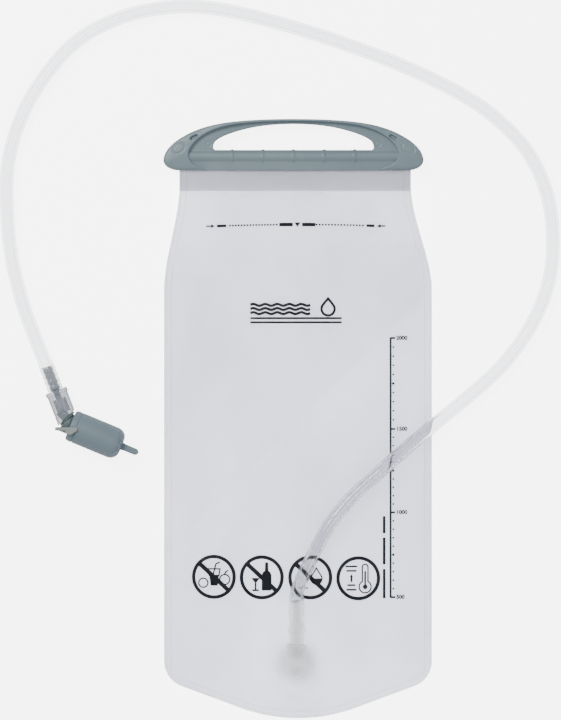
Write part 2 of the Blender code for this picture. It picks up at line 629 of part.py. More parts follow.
def make_cap_retainer():
    """Soft ring round the outlet's root, with a strap that rises beside it and lies over the cap's open end."""
    centre = PIVOT + ACROSS_MITRE * 1.5 * MM
    ring = turned("cap_retainer", centre, MITRE_AXIS, [
        (1.8 * MM, 7.1 * MM), (1.8 * MM, 8.3 * MM), (3.1 * MM, 8.3 * MM), (3.1 * MM, 7.1 * MM)], 24,
        "retainer_silicone", closed=True)
    combine(ring, strap(), "UNION")
    pad = [(BEND.x + x * MM, BEND.y + y * MM) for x, y in STRAP_PAD]
    combine(ring, prism("strap_pad", pad, BEND.z + STRAP_LOW, BEND.z + STRAP_HIGH), "UNION")


def strap():
    """Bent strip: out from the ring, up beside the body and level over the cap."""
    low, high = STRAP_LOW / MM, STRAP_HIGH / MM
    loop = [(-6.2, -1.2), (-9.2, -1.2), (-9.2, 8.4), (-6.9, 11.7), (-4.8, high), (6.6, high), (6.6, low),
            (-4.4, low), (-6, 10.7), (-8.1, 8), (-8.1, 1.2), (-6.2, 1.2)]
    points = [BEND + Vector((x, y, z)) * MM for y in STRAP_SIDES for x, z in loop]
    count = len(loop)
    faces = [list(range(count)), list(range(2 * count - 1, count - 1, -1))]
    faces += [(i, (i + 1) % count, count + (i + 1) % count, count + i) for i in range(count)]
    return solid("strap", points, faces)


def move_origin(name, place):
    """Puts a moving piece's origin on its joint's axis without moving its shape."""
    obj = bpy.data.objects[name]
    obj.data.transform(Matrix.Translation(-place))
    obj.location = place


def main():
    clear_scene()
    make_films()
    make_rod()
    make_slider()
    make_port()
    make_spigot()
    make_hose()
    make_valve_body()
    make_outlet_elbow()
    make_o_rings()
    make_bite_valve()
    make_dust_cap()
    make_cap_retainer()
    move_origin("slider", Vector((SLIDER_X, AXIS_Y, AXIS_Z)))
    for name in ("outlet_elbow", "cap_retainer", "bite_valve", "dust_cap"):
        move_origin(name, PIVOT)


main()
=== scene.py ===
"""Looks for the hydration bladder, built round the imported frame. Metres, +Z up, +Y towards the handle."""

import math

import bmesh
import bpy
import numpy as np
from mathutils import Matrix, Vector


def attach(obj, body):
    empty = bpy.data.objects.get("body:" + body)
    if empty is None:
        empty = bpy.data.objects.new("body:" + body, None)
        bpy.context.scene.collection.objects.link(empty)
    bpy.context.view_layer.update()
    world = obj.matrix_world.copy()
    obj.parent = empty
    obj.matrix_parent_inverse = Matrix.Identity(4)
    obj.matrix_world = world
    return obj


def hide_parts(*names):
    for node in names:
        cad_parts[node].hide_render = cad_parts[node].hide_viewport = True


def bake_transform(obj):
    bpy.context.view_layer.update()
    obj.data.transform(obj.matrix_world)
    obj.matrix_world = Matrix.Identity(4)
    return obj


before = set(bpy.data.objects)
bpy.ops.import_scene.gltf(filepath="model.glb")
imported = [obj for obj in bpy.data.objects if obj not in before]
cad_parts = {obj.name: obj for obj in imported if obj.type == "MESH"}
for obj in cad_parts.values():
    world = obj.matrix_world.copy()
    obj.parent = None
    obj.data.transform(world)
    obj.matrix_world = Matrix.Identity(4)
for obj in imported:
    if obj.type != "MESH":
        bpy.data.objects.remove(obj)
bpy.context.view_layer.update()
MM, FAR = 0.001, 1e9

# ---------------------------------------------------------------- camera: straight above, long lens

FRAME_MIDDLE = Vector((-12.25, 41.65, 6)) * MM
FRAME_HEIGHT = 504 * MM
CAMERA_DISTANCE = 2.4


def make_camera():
    data = bpy.data.cameras.new("camera")
    data.sensor_width = 36
    data.lens = data.sensor_width * CAMERA_DISTANCE / FRAME_HEIGHT
    data.clip_end = 20
    camera = bpy.data.objects.new("camera", data)
    camera.location = FRAME_MIDDLE + Vector((0, 0, CAMERA_DISTANCE))
    bpy.context.scene.collection.objects.link(camera)
    bpy.context.scene.camera = camera


make_camera()

# ---------------------------------------------------------------- materials


class Nodes:
    """A material's node tree, with short calls to add and link nodes."""

    def __init__(self, name):
        self.material = bpy.data.materials.new(name)
        self.material.use_nodes = True
        self.tree = self.material.node_tree
        self.shader = self.tree.nodes["Principled BSDF"]

    def add(self, kind, **settings):
        node = self.tree.nodes.new(kind)
        for key, value in settings.items():
            if key in node.inputs:
                node.inputs[key].default_value = value
            else:
                setattr(node, key, value)
        return node

    def set(self, **values):
        """Sets the shader's own sockets; an underscore stands for a space in a socket's name."""
        for socket, value in values.items():
            self.shader.inputs[socket.replace("_", " ")].default_value = value

    def link(self, source, target):
        self.tree.links.new(source, target)

    def facing(self):
        """0 where a surface faces the eye, 1 at its edges, for the gloss and body of clear walls."""
        return self.add("ShaderNodeLayerWeight", Blend=0.5).outputs["Facing"]

    def noise(self, scale, detail=3.0, stretch=None):
        """Noise in object space, drawn out along an axis where stretch says so."""
        place = self.add("ShaderNodeTexCoord").outputs["Object"]
        if stretch:
            mapping = self.add("ShaderNodeMapping")
            mapping.inputs["Scale"].default_value = stretch
            self.link(place, mapping.inputs["Vector"])
            place = mapping.outputs["Vector"]
        noise = self.add("ShaderNodeTexNoise", Scale=scale, Detail=detail)
        self.link(place, noise.inputs["Vector"])
        return noise.outputs["Fac"]

    def between(self, factor, low, high, socket, span=(0.3, 0.7)):
        """Varies one of the shader's inputs between two values or colours."""
        ramp = self.add("ShaderNodeValToRGB")
        for element, value, at in zip(ramp.color_ramp.elements, (low, high), span):
            element.position = at
            element.color = (*value, 1) if isinstance(value, tuple) else (value, value, value, 1)
        self.link(factor, ramp.inputs["Fac"])
        self.link(ramp.outputs["Color"], self.shader.inputs[socket])

    def bump(self, factor, strength, depth):
        bump = self.add("ShaderNodeBump", Strength=strength, Distance=depth)
        self.link(factor, bump.inputs["Height"])
        self.link(bump.outputs["Normal"], self.shader.inputs["Normal"])


def plastic(name, low, high, rough=(0.4, 0.55), grain=900.0, depth=0.00006, **sockets):
    """Moulded plastic or rubber: colour drifting a little, fine grain in its gloss and surface."""
    nodes = Nodes(name)
    nodes.between(nodes.noise(35.0), low, high, "Base Color")
    fine = nodes.noise(grain, 2.0)
    nodes.between(fine, rough[0], rough[1], "Roughness")
    nodes.bump(fine, 0.35, depth)
    nodes.set(**sockets)
    return nodes.material


def film_material():
    """Frosted film: milky, a little blue, with faint lighter and darker streaks in its colour, painted soft
    shade in broad patches of how much it lets through, and a matt grain.
    """
    nodes = Nodes("frosted_film")
    streaks = nodes.noise(9.0, 4.0, (1.0, 0.35, 1.0))
    nodes.between(streaks, (0.66, 0.67, 0.76), (0.74, 0.75, 0.84), "Base Color")
    nodes.between(nodes.noise(1400.0, 2.0), 0.28, 0.42, "Roughness")
    # Painted soft shade: broad patches where the film lets less of the floor's glow through.
    nodes.between(nodes.noise(14.0, 5.0, (1.0, 0.6, 1.0)), FILM_ALPHA_AND_SHADE[0], FILM_ALPHA_AND_SHADE[1], "Alpha")
    nodes.bump(nodes.noise(160.0, 4.0), 0.14, 0.0002)
    nodes.set(IOR=1.45)
    return nodes.material


def flange_material():
    """Flange welded under the film: milky at the boss and fading out to its thin rim."""
    nodes = Nodes("flange_plastic")
    mapping = nodes.add("ShaderNodeMapping", vector_type="TEXTURE")
    mapping.inputs["Location"].default_value = (PORT_X, PORT_Y, 0)
    mapping.inputs["Scale"].default_value = (FLANGE_RADIUS, FLANGE_RADIUS, FAR)
    nodes.link(nodes.add("ShaderNodeTexCoord").outputs["Object"], mapping.inputs["Vector"])
    length = nodes.add("ShaderNodeVectorMath", operation="LENGTH")
    nodes.link(mapping.outputs["Vector"], length.inputs[0])
    nodes.between(length.outputs["Value"], 0.5, 0.0, "Alpha", (0.3, 0.98))
    nodes.between(nodes.noise(60.0), (0.70, 0.71, 0.74), (0.78, 0.79, 0.81), "Base Color")
    nodes.set(Roughness=0.4)
    return nodes.material


def clear_moulding(name, low, high, alphas, rough=(0.05, 0.12)):
    """Clear moulded wall: see-through where it faces the eye, more opaque towards its edges as painted shade
    along its outline, glossy.
    """
    nodes = Nodes(name)
    # Painted shade: more opaque towards the outline, so the colour shows there as darker edges.
    nodes.between(nodes.facing(), alphas[0], alphas[1], "Alpha", (0.35, 0.9))
    nodes.between(nodes.noise(60.0), low, high, "Base Color")
    nodes.between(nodes.noise(300.0), rough[0], rough[1], "Roughness")
    nodes.bump(nodes.noise(260.0, 2.0), 0.1, 0.0003)
    nodes.set(IOR=1.6)
    return nodes.material


def milky_plastic(name, low, high, rough, alpha):
    """Cloudy, half see-through moulding, with faint flow lines and a slight grain."""
    nodes = Nodes(name)
    nodes.between(nodes.noise(60.0), low, high, "Base Color")
    nodes.between(nodes.noise(300.0), rough[0], rough[1], "Roughness")
    nodes.bump(nodes.noise(120.0, 2.0), 0.06, 0.0003)
    nodes.set(IOR=1.45, Alpha=alpha)
    return nodes.material


def hose_material():
    """Clear vinyl tube: its colour painted bright along its middle and darker towards its edges, as painted
    shade where the wall is seen end on.
    """
    nodes = Nodes("hose_vinyl")
    # Painted shade: the tube's colour darkens towards its outline.
    nodes.between(nodes.facing(), (0.78, 0.79, 0.81), (0.26, 0.27, 0.295), "Base Color", (0.2, 0.64))
    nodes.between(nodes.noise(300.0), 0.02, 0.07, "Roughness")
    nodes.bump(nodes.noise(120.0, 2.0), 0.06, 0.0003)
    nodes.set(IOR=1.38, Transmission_Weight=1.0)
    return nodes.material


PORT_X, PORT_Y, FLANGE_RADIUS = -1 * MM, -170 * MM, 17 * MM
# Film see-through range, which also carries painted soft shade in broad patches.
FILM_ALPHA_AND_SHADE = (0.37, 0.46)
FILM = film_material()
SLIDER = plastic("slider_plastic", (0.155, 0.212, 0.236), (0.18, 0.24, 0.266), (0.34, 0.46))
CAP = plastic("cap_plastic", (0.142, 0.192, 0.222), (0.168, 0.224, 0.254), (0.36, 0.5), 700.0)
ELBOW = plastic("elbow_plastic", (0.105, 0.145, 0.15), (0.13, 0.172, 0.178), (0.3, 0.45))
# Pale strap colour: partly the strap's own tone, partly painted light on its upward faces.
RETAINER_AND_LIT_TOP = plastic("retainer_silicone", (0.235, 0.27, 0.255), (0.275, 0.31, 0.295), (0.5, 0.65), 600.0)
RUBBER = plastic("o_ring_rubber", (0.03, 0.035, 0.04), (0.05, 0.055, 0.06), (0.45, 0.6))
ROD = plastic("rod_plastic", (0.60, 0.62, 0.67), (0.66, 0.68, 0.72))
BITE = plastic("bite_silicone", (0.62, 0.68, 0.72), (0.70, 0.75, 0.78), (0.4, 0.5), 500.0,
               Transmission_Weight=0.4)
INK = plastic("black_ink", (0.006, 0.007, 0.010), (0.011, 0.012, 0.016), (0.55, 0.7), 1800.0, 0.00001,
              Specular_IOR_Level=0.15)
PORT = milky_plastic("port_plastic", (0.74, 0.75, 0.78), (0.82, 0.83, 0.85), (0.3, 0.42), 0.52)
SPIGOT = plastic("spigot_plastic", (0.88, 0.89, 0.91), (0.94, 0.95, 0.96), (0.1, 0.18), 400.0)
FLANGE = flange_material()
HOSE = hose_material()
HOSE_END = clear_moulding("hose_on_barbs", (0.62, 0.64, 0.67), (0.70, 0.72, 0.75), (0.05, 0.6))
WELD = milky_plastic("welded_line", (0.50, 0.50, 0.55), (0.58, 0.58, 0.63), (0.3, 0.4), 0.52)
CLEAR = clear_moulding("body_clear", (0.20, 0.24, 0.28), (0.30, 0.34, 0.39), (0.66, 0.97), (0.05, 0.1))
HOSE_ON_BODY = clear_moulding("hose_on_body", (0.30, 0.33, 0.37), (0.42, 0.45, 0.50), (0.34, 0.95),
                              (0.04, 0.1))
BODY_BARBS = plastic("body_barbs", (0.24, 0.27, 0.30), (0.38, 0.42, 0.45), (0.08, 0.16), 400.0)


def piece(name, points, faces, material, body, smooth=True):
    """A mesh piece, its faces turned outwards, riding on a body."""
    mesh = bpy.data.meshes.new(name)
    mesh.from_pydata([tuple(p) for p in points], [], faces)
    bm = bmesh.new()
    bm.from_mesh(mesh)
    bmesh.ops.recalc_face_normals(bm, faces=bm.faces)
    bm.to_mesh(mesh)
    bm.free()
    if smooth:
        mesh.shade_smooth()
    obj = bpy.data.objects.new(name, mesh)
    bpy.context.scene.collection.objects.link(obj)
    mesh.materials.append(material)
    if body:
        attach(obj, body)
    return obj


def paint(obj, *materials):
    obj.data.materials.clear()
    for material in materials:
        obj.data.materials.append(material)


def combine(obj, tool, operation):
    """Cuts tool from obj or adds it, and removes tool."""
    modifier = obj.modifiers.new(operation, "BOOLEAN")
    modifier.operation = operation
    modifier.solver = "EXACT"
    modifier.object = tool
    apply_modifiers(obj)
    bpy.data.objects.remove(tool)


def apply_modifiers(obj):
    bpy.context.view_layer.update()
    result = bpy.data.meshes.new_from_object(obj.evaluated_get(bpy.context.evaluated_depsgraph_get()))
    obj.modifiers.clear()
    obj.data = result


def soften(obj, cell, passes):
    """Gives a sharp solid the small even radii of a moulding: remeshed finely, then smoothed a little."""
    remesh = obj.modifiers.new("remesh", "REMESH")
    remesh.mode = "VOXEL"
    remesh.voxel_size = cell
    smooth = obj.modifiers.new("smooth", "SMOOTH")
    smooth.factor = 0.5
    smooth.iterations = passes
    apply_modifiers(obj)


def shade(obj, angle=32):
    """Smooth shading, with edges sharper than angle left crisp."""
    bm = bmesh.new()
    bm.from_mesh(obj.data)
    for edge in bm.edges:
        edge.smooth = len(edge.link_faces) == 2 and edge.calc_face_angle() < math.radians(angle)
    for face in bm.faces:
        face.smooth = True
    bm.to_mesh(obj.data)
    bm.free()


def paint_beyond(obj, material, place, way):
    """Gives a second material to the faces past a plane."""
    obj.data.materials.append(material)
    for face in obj.data.polygons:
        if (face.center - place).dot(way) > 0:
            face.material_index = 1


def stand_for(obj, slot, *nodes):
    """The piece takes the place of CAD nodes, which are hidden; the named slot is not used."""
    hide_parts(*nodes)
    return obj


def inset(outline, by):
    moved = []
    for i, (x, y) in enumerate(outline):
        before, after = Vector(outline[i - 1]), Vector(outline[(i + 1) % len(outline)])
        here = Vector((x, y))
        a, b = (here - before).normalized(), (after - here).normalized()
        bisector = (Vector((-a.y, a.x)) + Vector((-b.y, b.x))).normalized()
        moved.append(here + bisector * by)
    return moved


def stack(name, loops, material=None, body=None):
    """A closed body through loops of equally many points, capped at both ends."""
    count = len(loops[0])
    faces = [list(range(count))[::-1], [count * (len(loops) - 1) + i for i in range(count)]]
    for base in range(0, count * (len(loops) - 1), count):
        for i in range(count):
            j = (i + 1) % count
            faces.append((base + i, base + j, base + count + j, base + count + i))
    return piece(name, [point for loop in loops for point in loop], faces, material or SLIDER, body)


def prism(name, outline, low, high, edge=0.0):
    """The outline extruded from low to high, its top and bottom edges rounded in two steps by edge."""
    levels = [(outline, low), (outline, high)]
    if edge:
        part = edge * 0.3
        narrow, middle = inset(outline, edge), inset(outline, part)
        levels = [(narrow, low), (middle, low + part), (outline, low + edge),
                  (outline, high - edge), (middle, high - part), (narrow, high)]
    return stack(name, [[(x, y, z) for x, y in loop] for loop, z in levels])


def turned(name, start, axis, profile, segments=64, material=None, body=None, closed=False):
    """A body of revolution about the axis; profile is (distance along, radius) pairs."""
    side = axis.cross(Vector((0, 0, 1)))
    side = side.normalized() if side.length > 0.1 else Vector((1, 0, 0))
    up = axis.cross(side)
    points, rings = [], []
    for along, radius in profile:
        if radius == 0:
            rings.append([len(points)] * segments)
            points.append(start + axis * along)
            continue
        rings.append(list(range(len(points), len(points) + segments)))
        for i in range(segments):
            angle = 2 * math.pi * i / segments
            points.append(start + axis * along + (side * math.cos(angle) + up * math.sin(angle)) * radius)
    faces = []
    pairs = list(zip(rings, rings[1:])) + ([(rings[-1], rings[0])] if closed else [])
    for one, two in pairs:
        for i in range(segments):
            j = (i + 1) % segments
            corners = list(dict.fromkeys((one[i], one[j], two[j], two[i])))
            if len(corners) > 2:
                faces.append(corners)
    return piece(name, points, faces, material or SLIDER, body)


def mm(*pairs):
    return [(a * MM, b * MM) for a, b in pairs]


def rounded(profile, radius, closed=False):
    """The profile with each corner replaced by a small curve; an open profile keeps its two ends."""
    count, out = len(profile), []
    for i, here in enumerate(profile):
        if not closed and i in (0, count - 1):
            out.append(here)
            continue
        p, a, b = Vector(here), Vector(profile[i - 1]), Vector(profile[(i + 1) % count])
        to_a, to_b = a - p, b - p
        cut = min(radius, 0.42 * to_a.length, 0.42 * to_b.length)
        one, two = p + to_a.normalized() * cut, p + to_b.normalized() * cut
        for t in (0, 0.33, 0.67, 1):
            point = one * (1 - t) ** 2 + p * 2 * t * (1 - t) + two * t**2
            out.append((point.x, point.y))
    return out


def mirrored(half, middle_x):
    """A closed outline, anticlockwise, from a smooth curve through half of it, from the top middle on."""
    curve = smooth_route([Vector((x, y, 0)) * MM for x, y in half], 1.6 * MM)
    right = [(middle_x + p.x, p.y) for p in curve]
    left = [(middle_x - p.x, p.y) for p in curve[1:]]
    return list(reversed(right)) + left


# ---------------------------------------------------------------- hose

HOSE_RADIUS, HOSE_WALL, FLARE = 4.75 * MM, 1.55 * MM, 5.55 * MM
HOSE_STEP, BARB_PITCH, RING_SINK, HOSE_GRIP = 1 * MM, 4.3 * MM, 0.6 * MM, 18 * MM
EXIT = Vector((-1, -143.8, 16)) * MM
BODY_AXIS = Vector((0.36, -0.933, 0)).normalized()
BEND = Vector((-160.05, -3.15, 11.6)) * MM
BARB_TIP, COLLAR = -42.8 * MM, -25.4 * MM
HOSE_ROUTE = (
    (-1, -125.2, 16), (-0.9, -121.4, 16), (1.6, -113.5, 16.1), (9.2, -97, 16.3), (20.9, -74.6, 16.3),
    (37.8, -53.8, 15.9), (56, -37.2, 14.4), (75, -20.5, 10.9), (94, -4.6, 6.6), (112, 10, 4.9),
    (130.3, 25.4, 4.85), (147, 42.4, 4.85), (163, 65.3, 4.85), (174.6, 92.5, 4.85),
    (178.6, 121.9, 4.85), (175, 155.5, 4.85), (161.7, 186.1, 4.85), (139, 210.8, 4.85),
    (111.2, 229.6, 4.85), (70.8, 248.8, 4.85), (28.8, 264.5, 4.85), (-14, 277.8, 4.85),
    (-57.6, 287.8, 4.85), (-91, 288.6, 4.85), (-123.9, 281.5, 4.85), (-153.8, 265.8, 4.85),
    (-176.5, 241.4, 4.85), (-193.4, 212.5, 4.85), (-202.9, 180.2, 4.85), (-203.8, 146.6, 4.85),
    (-200.6, 113.2, 4.85), (-192.6, 80.6, 5.6), (-184.4, 58.4, 8.2),
)


def smooth_route(points, step):
    """Points every step along a smooth curve through the given ones."""
    dense = []
    for i in range(len(points) - 1):
        p0, p1 = points[max(i - 1, 0)], points[i]
        p2, p3 = points[i + 1], points[min(i + 2, len(points) - 1)]
        for k in range(12):
            t = k / 12
            dense.append(0.5 * (2 * p1 + (p2 - p0) * t + (2 * p0 - 5 * p1 + 4 * p2 - p3) * t**2
                                + (3 * p1 - p0 - 3 * p2 + p3) * t**3))
    dense.append(points[-1])
    lengths = [0]
    for one, two in zip(dense, dense[1:]):
        lengths.append(lengths[-1] + (two - one).length)
    count = round(lengths[-1] / step)
    route, at = [], 0
    for i in range(count + 1):
        want = lengths[-1] * i / count
        while at < len(dense) - 2 and lengths[at + 1] < want:
            at += 1
        part = (want - lengths[at]) / (lengths[at + 1] - lengths[at])
        route.append(dense[at].lerp(dense[at + 1], part))
    return route


def tube(name, route, radii, wall, material, segments=28):
    """An open-ended tube with a real wall along the route, its section carried along without twist."""
    points, rings = [], []
    side = Vector((1, 0, 0))
    for i, place in enumerate(route):
        ahead = (route[min(i + 1, len(route) - 1)] - route[max(i - 1, 0)]).normalized()
        side = (side - ahead * side.dot(ahead)).normalized()
        up = ahead.cross(side)
        for radius in (radii[i], radii[i] - wall):
            rings.append(len(points))
            for k in range(segments):
                a = 2 * math.pi * k / segments
                points.append(place + (side * math.cos(a) + up * math.sin(a)) * radius)
    outer, inner = rings[0::2], rings[1::2]
    loop = outer + inner[::-1] + [outer[0]]
    faces = []
    for one, two in zip(loop, loop[1:]):
        for k in range(segments):
            step = (k + 1) % segments
            faces.append((one + k, one + step, two + step, two + k))
    made = piece(name, points, faces, material, None)
    paint(made, material, HOSE_END, HOSE_ON_BODY)
    last = route[-1]
    for face in made.data.polygons:
        if (face.center - route[0]).length < HOSE_GRIP:
            face.material_index = 1
        elif (face.center - last).length < HOSE_GRIP:
            face.material_index = 2
    return made


def make_hose():
    points = [EXIT, EXIT + Vector((0, 9, 0)) * MM] + [Vector(p) * MM for p in HOSE_ROUTE]
    points += [BEND + BODY_AXIS * (BARB_TIP - 2 * MM), BEND + BODY_AXIS * (BARB_TIP + 8 * MM),
               BEND + BODY_AXIS * COLLAR]
    route = smooth_route(points, HOSE_STEP)
    radii, total = [], HOSE_STEP * (len(route) - 1)
    for i in range(len(route)):
        from_end = min(i * HOSE_STEP, total - i * HOSE_STEP)
        spread = 1 - min(max((from_end - 15 * MM) / (9 * MM), 0), 1)
        ring = 0.5 + 0.5 * math.cos(2 * math.pi * from_end / BARB_PITCH)
        swell = (FLARE - RING_SINK * ring**2 - HOSE_RADIUS) * spread * spread * (3 - 2 * spread)
        radii.append(HOSE_RADIUS + swell)
    hose = tube("drinking_hose", route, radii, HOSE_WALL, HOSE)
    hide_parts("hose")
    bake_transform(hose)
    return hose, route


hose, hose_centre = make_hose()
SEE_THROUGH = [hose]

# ---------------------------------------------------------------- bag

FILM_THICK, LAYER = 0.4 * MM, 0.7 * MM
BAG_HALF_WIDTH, NECK_HALF_WIDTH, NECK_SHIFT = 94 * MM, 81 * MM, -2 * MM
NECK_START_Y, NECK_END_Y = 90 * MM, 165 * MM
CORNER_X, CORNER_Y, CORNER_RADIUS, CORNER_BEND_X = 91 * MM, -179.6 * MM, 12 * MM, 82 * MM
BOTTOM_Y, BOTTOM_ARC_X, BOTTOM_ARC_RADIUS, BOTTOM_SLOPE = -209.7 * MM, 38 * MM, 113 * MM, 0.37
BOTTOM_FADE, SIDE_FLARE_Y, SIDE_FLARE, SEAM = 120 * MM, -169.6 * MM, 3 * MM, 5.5 * MM
PUFF, PUFF_RUN, PUFF_TOP_RUN, PUFF_TOP_Y = 10 * MM, 22 * MM, 30 * MM, 168 * MM
LIFT_START_Y, LIFT_END_Y, FLAP_END_Y = 118 * MM, 171 * MM, 160 * MM
AXIS_Y, AXIS_Z, WRAP_RADIUS, WRAP_LEAD, THROAT = 183.8 * MM, 6.5 * MM, 2.0 * MM, 45.6, 2.75 * MM
PORT_FILM_Z = 8.1 * MM
PORT_FLAT, PORT_BLEND, PORT_BLEND_UP = 22 * MM, 33 * MM, 48 * MM
# Soft creases of the slack film: both ends in mm, how deep and how wide.
CREASES = (
    (-78, 158, 74, 159, 1.3, 2.6), (-70, 148, -20, 151, 0.6, 3), (16, 150, 66, 146, 0.6, 3.2),
    (-80, -150, -26, -176, 0.9, 3.6), (78, -152, 30, -178, 0.9, 3.6), (-84, -60, -40, -84, 0.7, 5),
    (20, -128, 76, -92, 0.7, 5), (-66, 20, -10, 52, 0.6, 6), (10, -20, 74, 16, 0.7, 6),
)


def smoothstep(low, high, value):
    t = min(max((value - low) / (high - low), 0), 1)
    return t * t * (3 - 2 * t)


def half_width(y):
    flare = max(SIDE_FLARE_Y - y, 0) / (SIDE_FLARE_Y - CORNER_Y)
    neck = (BAG_HALF_WIDTH - NECK_HALF_WIDTH) * smoothstep(NECK_START_Y, NECK_END_Y, y)
    return BAG_HALF_WIDTH - neck - SIDE_FLARE * flare**2


def bottom_edge(x):
    x = min(abs(x), CORNER_X)
    arc_x = min(x, BOTTOM_ARC_X)
    corner_x = max(x - CORNER_BEND_X, 0)
    corner = CORNER_RADIUS - math.sqrt(CORNER_RADIUS**2 - corner_x**2)
    return BOTTOM_Y + arc_x**2 / (2 * BOTTOM_ARC_RADIUS) + (x - arc_x) * BOTTOM_SLOPE + corner


def neck_lift(y):
    return (AXIS_Z + LAYER / 2 - FILM_THICK / 2) * smoothstep(LIFT_START_Y, LIFT_END_Y, y)


def middle_x(y):
    return NECK_SHIFT * smoothstep(NECK_START_Y, NECK_END_Y, y)


def panel_point(across, side_y):
    x = across * half_width(side_y)
    run = min((side_y - CORNER_Y) / BOTTOM_FADE, 1)
    sag = bottom_edge(across * CORNER_X) - CORNER_Y
    return x + middle_x(side_y), side_y + sag * (1 - run**2) ** 2


def edge_distances(across, x, y, side_y):
    return (1 - abs(across)) * half_width(side_y), y - bottom_edge(x)


def slack(x, y):
    """Soft unevenness of a slack film, from a few long waves."""
    waves = (0.9 * math.sin(31 * x + 19 * y + 0.4) * math.sin(23 * y - 17 * x + 1.1)
             + 0.45 * math.sin(83 * x - 37 * y) * math.sin(53 * y + 29 * x + 2.0) - 0.7)
    for x0, y0, x1, y1, deep, wide in CREASES:
        run = Vector((x1 - x0, y1 - y0))
        here = Vector((x / MM - x0, y / MM - y0))
        along = here.dot(run) / run.length_squared
        off = (here.x * run.y - here.y * run.x) / run.length
        off += 3 * math.sin(4 * along + x0)
        waves -= deep * math.exp(-((off / wide) ** 2)) * math.exp(-((2.1 * (along - 0.5)) ** 4))
    return waves * MM


def front_z(across, side_y):
    """Middle height of the front film: puffed, slack, pleated near the slide lock, ridged at the weld."""
    x, y = panel_point(across, side_y)
    from_side, from_bottom = edge_distances(across, x, y, side_y)
    inside = max(min(from_side, from_bottom) - SEAM, 0)
    height = PUFF * (1 - math.exp(-max(from_side - SEAM, 0) / PUFF_RUN))
    height *= 1 - math.exp(-max(from_bottom - SEAM, 0) / PUFF_RUN)
    height *= 1 - math.exp(-max(PUFF_TOP_Y - y, 0) / PUFF_TOP_RUN)
    wave = smoothstep(0, 18 * MM, inside) * smoothstep(0, 30 * MM, PUFF_TOP_Y - y)
    domed = FILM_THICK / 2 + LAYER + neck_lift(y) + height + wave * slack(x, y)
    away = math.hypot(x - PORT_X, y - PORT_Y)
    upward = max(y - PORT_Y, 0) / max(away, MM)
    reach = PORT_BLEND + (PORT_BLEND_UP - PORT_BLEND) * upward
    return domed + (PORT_FILM_Z - domed) * (1 - smoothstep(PORT_FLAT, reach, away))


WELD_SHOWS = 0.4 * MM


def weld_ridge(across, side_y):
    """The two fine raised lines of the welded edge."""
    x, y = panel_point(across, side_y)
    edge = min(edge_distances(across, x, y, side_y))
    return sum(0.3 * MM * math.exp(-(((edge - line) / (0.5 * MM)) ** 2)) for line in (1.6 * MM, 5.0 * MM))


def fold_path(offset):
    radius, level = WRAP_RADIUS + offset, LAYER / 2 + offset
    lead = math.radians(WRAP_LEAD)
    throat = THROAT - (LAYER - offset) * math.tan(lead / 2)
    path = [(AXIS_Y - throat, AXIS_Z + level)]
    steps, sweep = 16, 2 * (math.pi / 2 + lead)
    for i in range(steps + 1):
        angle = math.pi / 2 + lead - sweep * i / steps
        path.append((AXIS_Y + radius * math.cos(angle), AXIS_Z + radius * math.sin(angle)))
    path.append((AXIS_Y - throat, AXIS_Z - level))
    for k in range(6):
        y = LIFT_END_Y + 2 * MM + (FLAP_END_Y - LIFT_END_Y - 2 * MM) * k / 5
        path.append((y, AXIS_Z - level - (neck_lift(LIFT_END_Y) - neck_lift(y))))
    return path


def film_sheet(name, height, offset, ridge):
    """A film as a thin closed sheet: panel, neck and the fold round the bead."""
    half = list(np.linspace(0, 0.925, 30)) + list(np.linspace(0.93, 1, 24))
    columns = [-u for u in reversed(half) if u] + half
    side_rows = [CORNER_Y + d * MM for d in np.linspace(0, 7, 26)]
    side_rows += list(np.linspace(CORNER_Y + 9 * MM, 173 * MM, 130))
    middle, rows_ridge = [], []
    for side_y in side_rows:
        middle.append([Vector((*panel_point(u, side_y), height(u, side_y))) for u in columns])
        rows_ridge.append([ridge(u, side_y) for u in columns])
    for y, z in fold_path(offset):
        middle.append([Vector((NECK_SHIFT + u * NECK_HALF_WIDTH, y, z)) for u in columns])
        rows_ridge.append([0.0] * len(columns))
    rows, width = len(middle), len(columns)
    upper, lower = [], []
    for i in range(rows):
        for j in range(width):
            along = middle[min(i + 1, rows - 1)][j] - middle[max(i - 1, 0)][j]
            over = middle[i][min(j + 1, width - 1)] - middle[i][max(j - 1, 0)]
            normal = over.cross(along).normalized()
            upper.append(middle[i][j] + normal * (FILM_THICK / 2 + rows_ridge[i][j]))
            lower.append(middle[i][j] - normal * FILM_THICK / 2)
    count, faces = rows * width, []
    for i in range(rows - 1):
        for j in range(width - 1):
            a = i * width + j
            corners = (a, a + 1, a + width + 1, a + width)
            faces += [corners, tuple(count + c for c in reversed(corners))]
    rim = list(range(width)) + [i * width + width - 1 for i in range(1, rows)]
    rim += [(rows - 1) * width + j for j in range(width - 2, -1, -1)]
    rim += [i * width for i in range(rows - 2, 0, -1)]
    for here, there in zip(rim, rim[1:] + rim[:1]):
        faces.append((here, count + here, count + there, there))
    sheet = piece(name, upper + lower, faces, FILM, "bladder")
    sheet.data.materials.append(WELD)
    for i in range(rows - 1):
        for j in range(width - 1):
            if rows_ridge[i][j] + rows_ridge[i + 1][j + 1] > WELD_SHOWS:
                sheet.data.polygons[2 * (i * (width - 1) + j)].material_index = 1
    return sheet


def make_films():
    back = film_sheet("back_panel", lambda u, y: FILM_THICK / 2 + neck_lift(y), 0, lambda u, y: 0.0)
    front = film_sheet("front_panel", front_z, LAYER, weld_ridge)
    return [stand_for(back, "clear_film", "back_film"), stand_for(front, "clear_film", "front_film")]


SEE_THROUGH += make_films()
paint(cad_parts["closure_rod"], ROD)

# ---------------------------------------------------------------- print on the front film

INK_RISE, INK_SINK = 0.10 * MM, 0.05 * MM


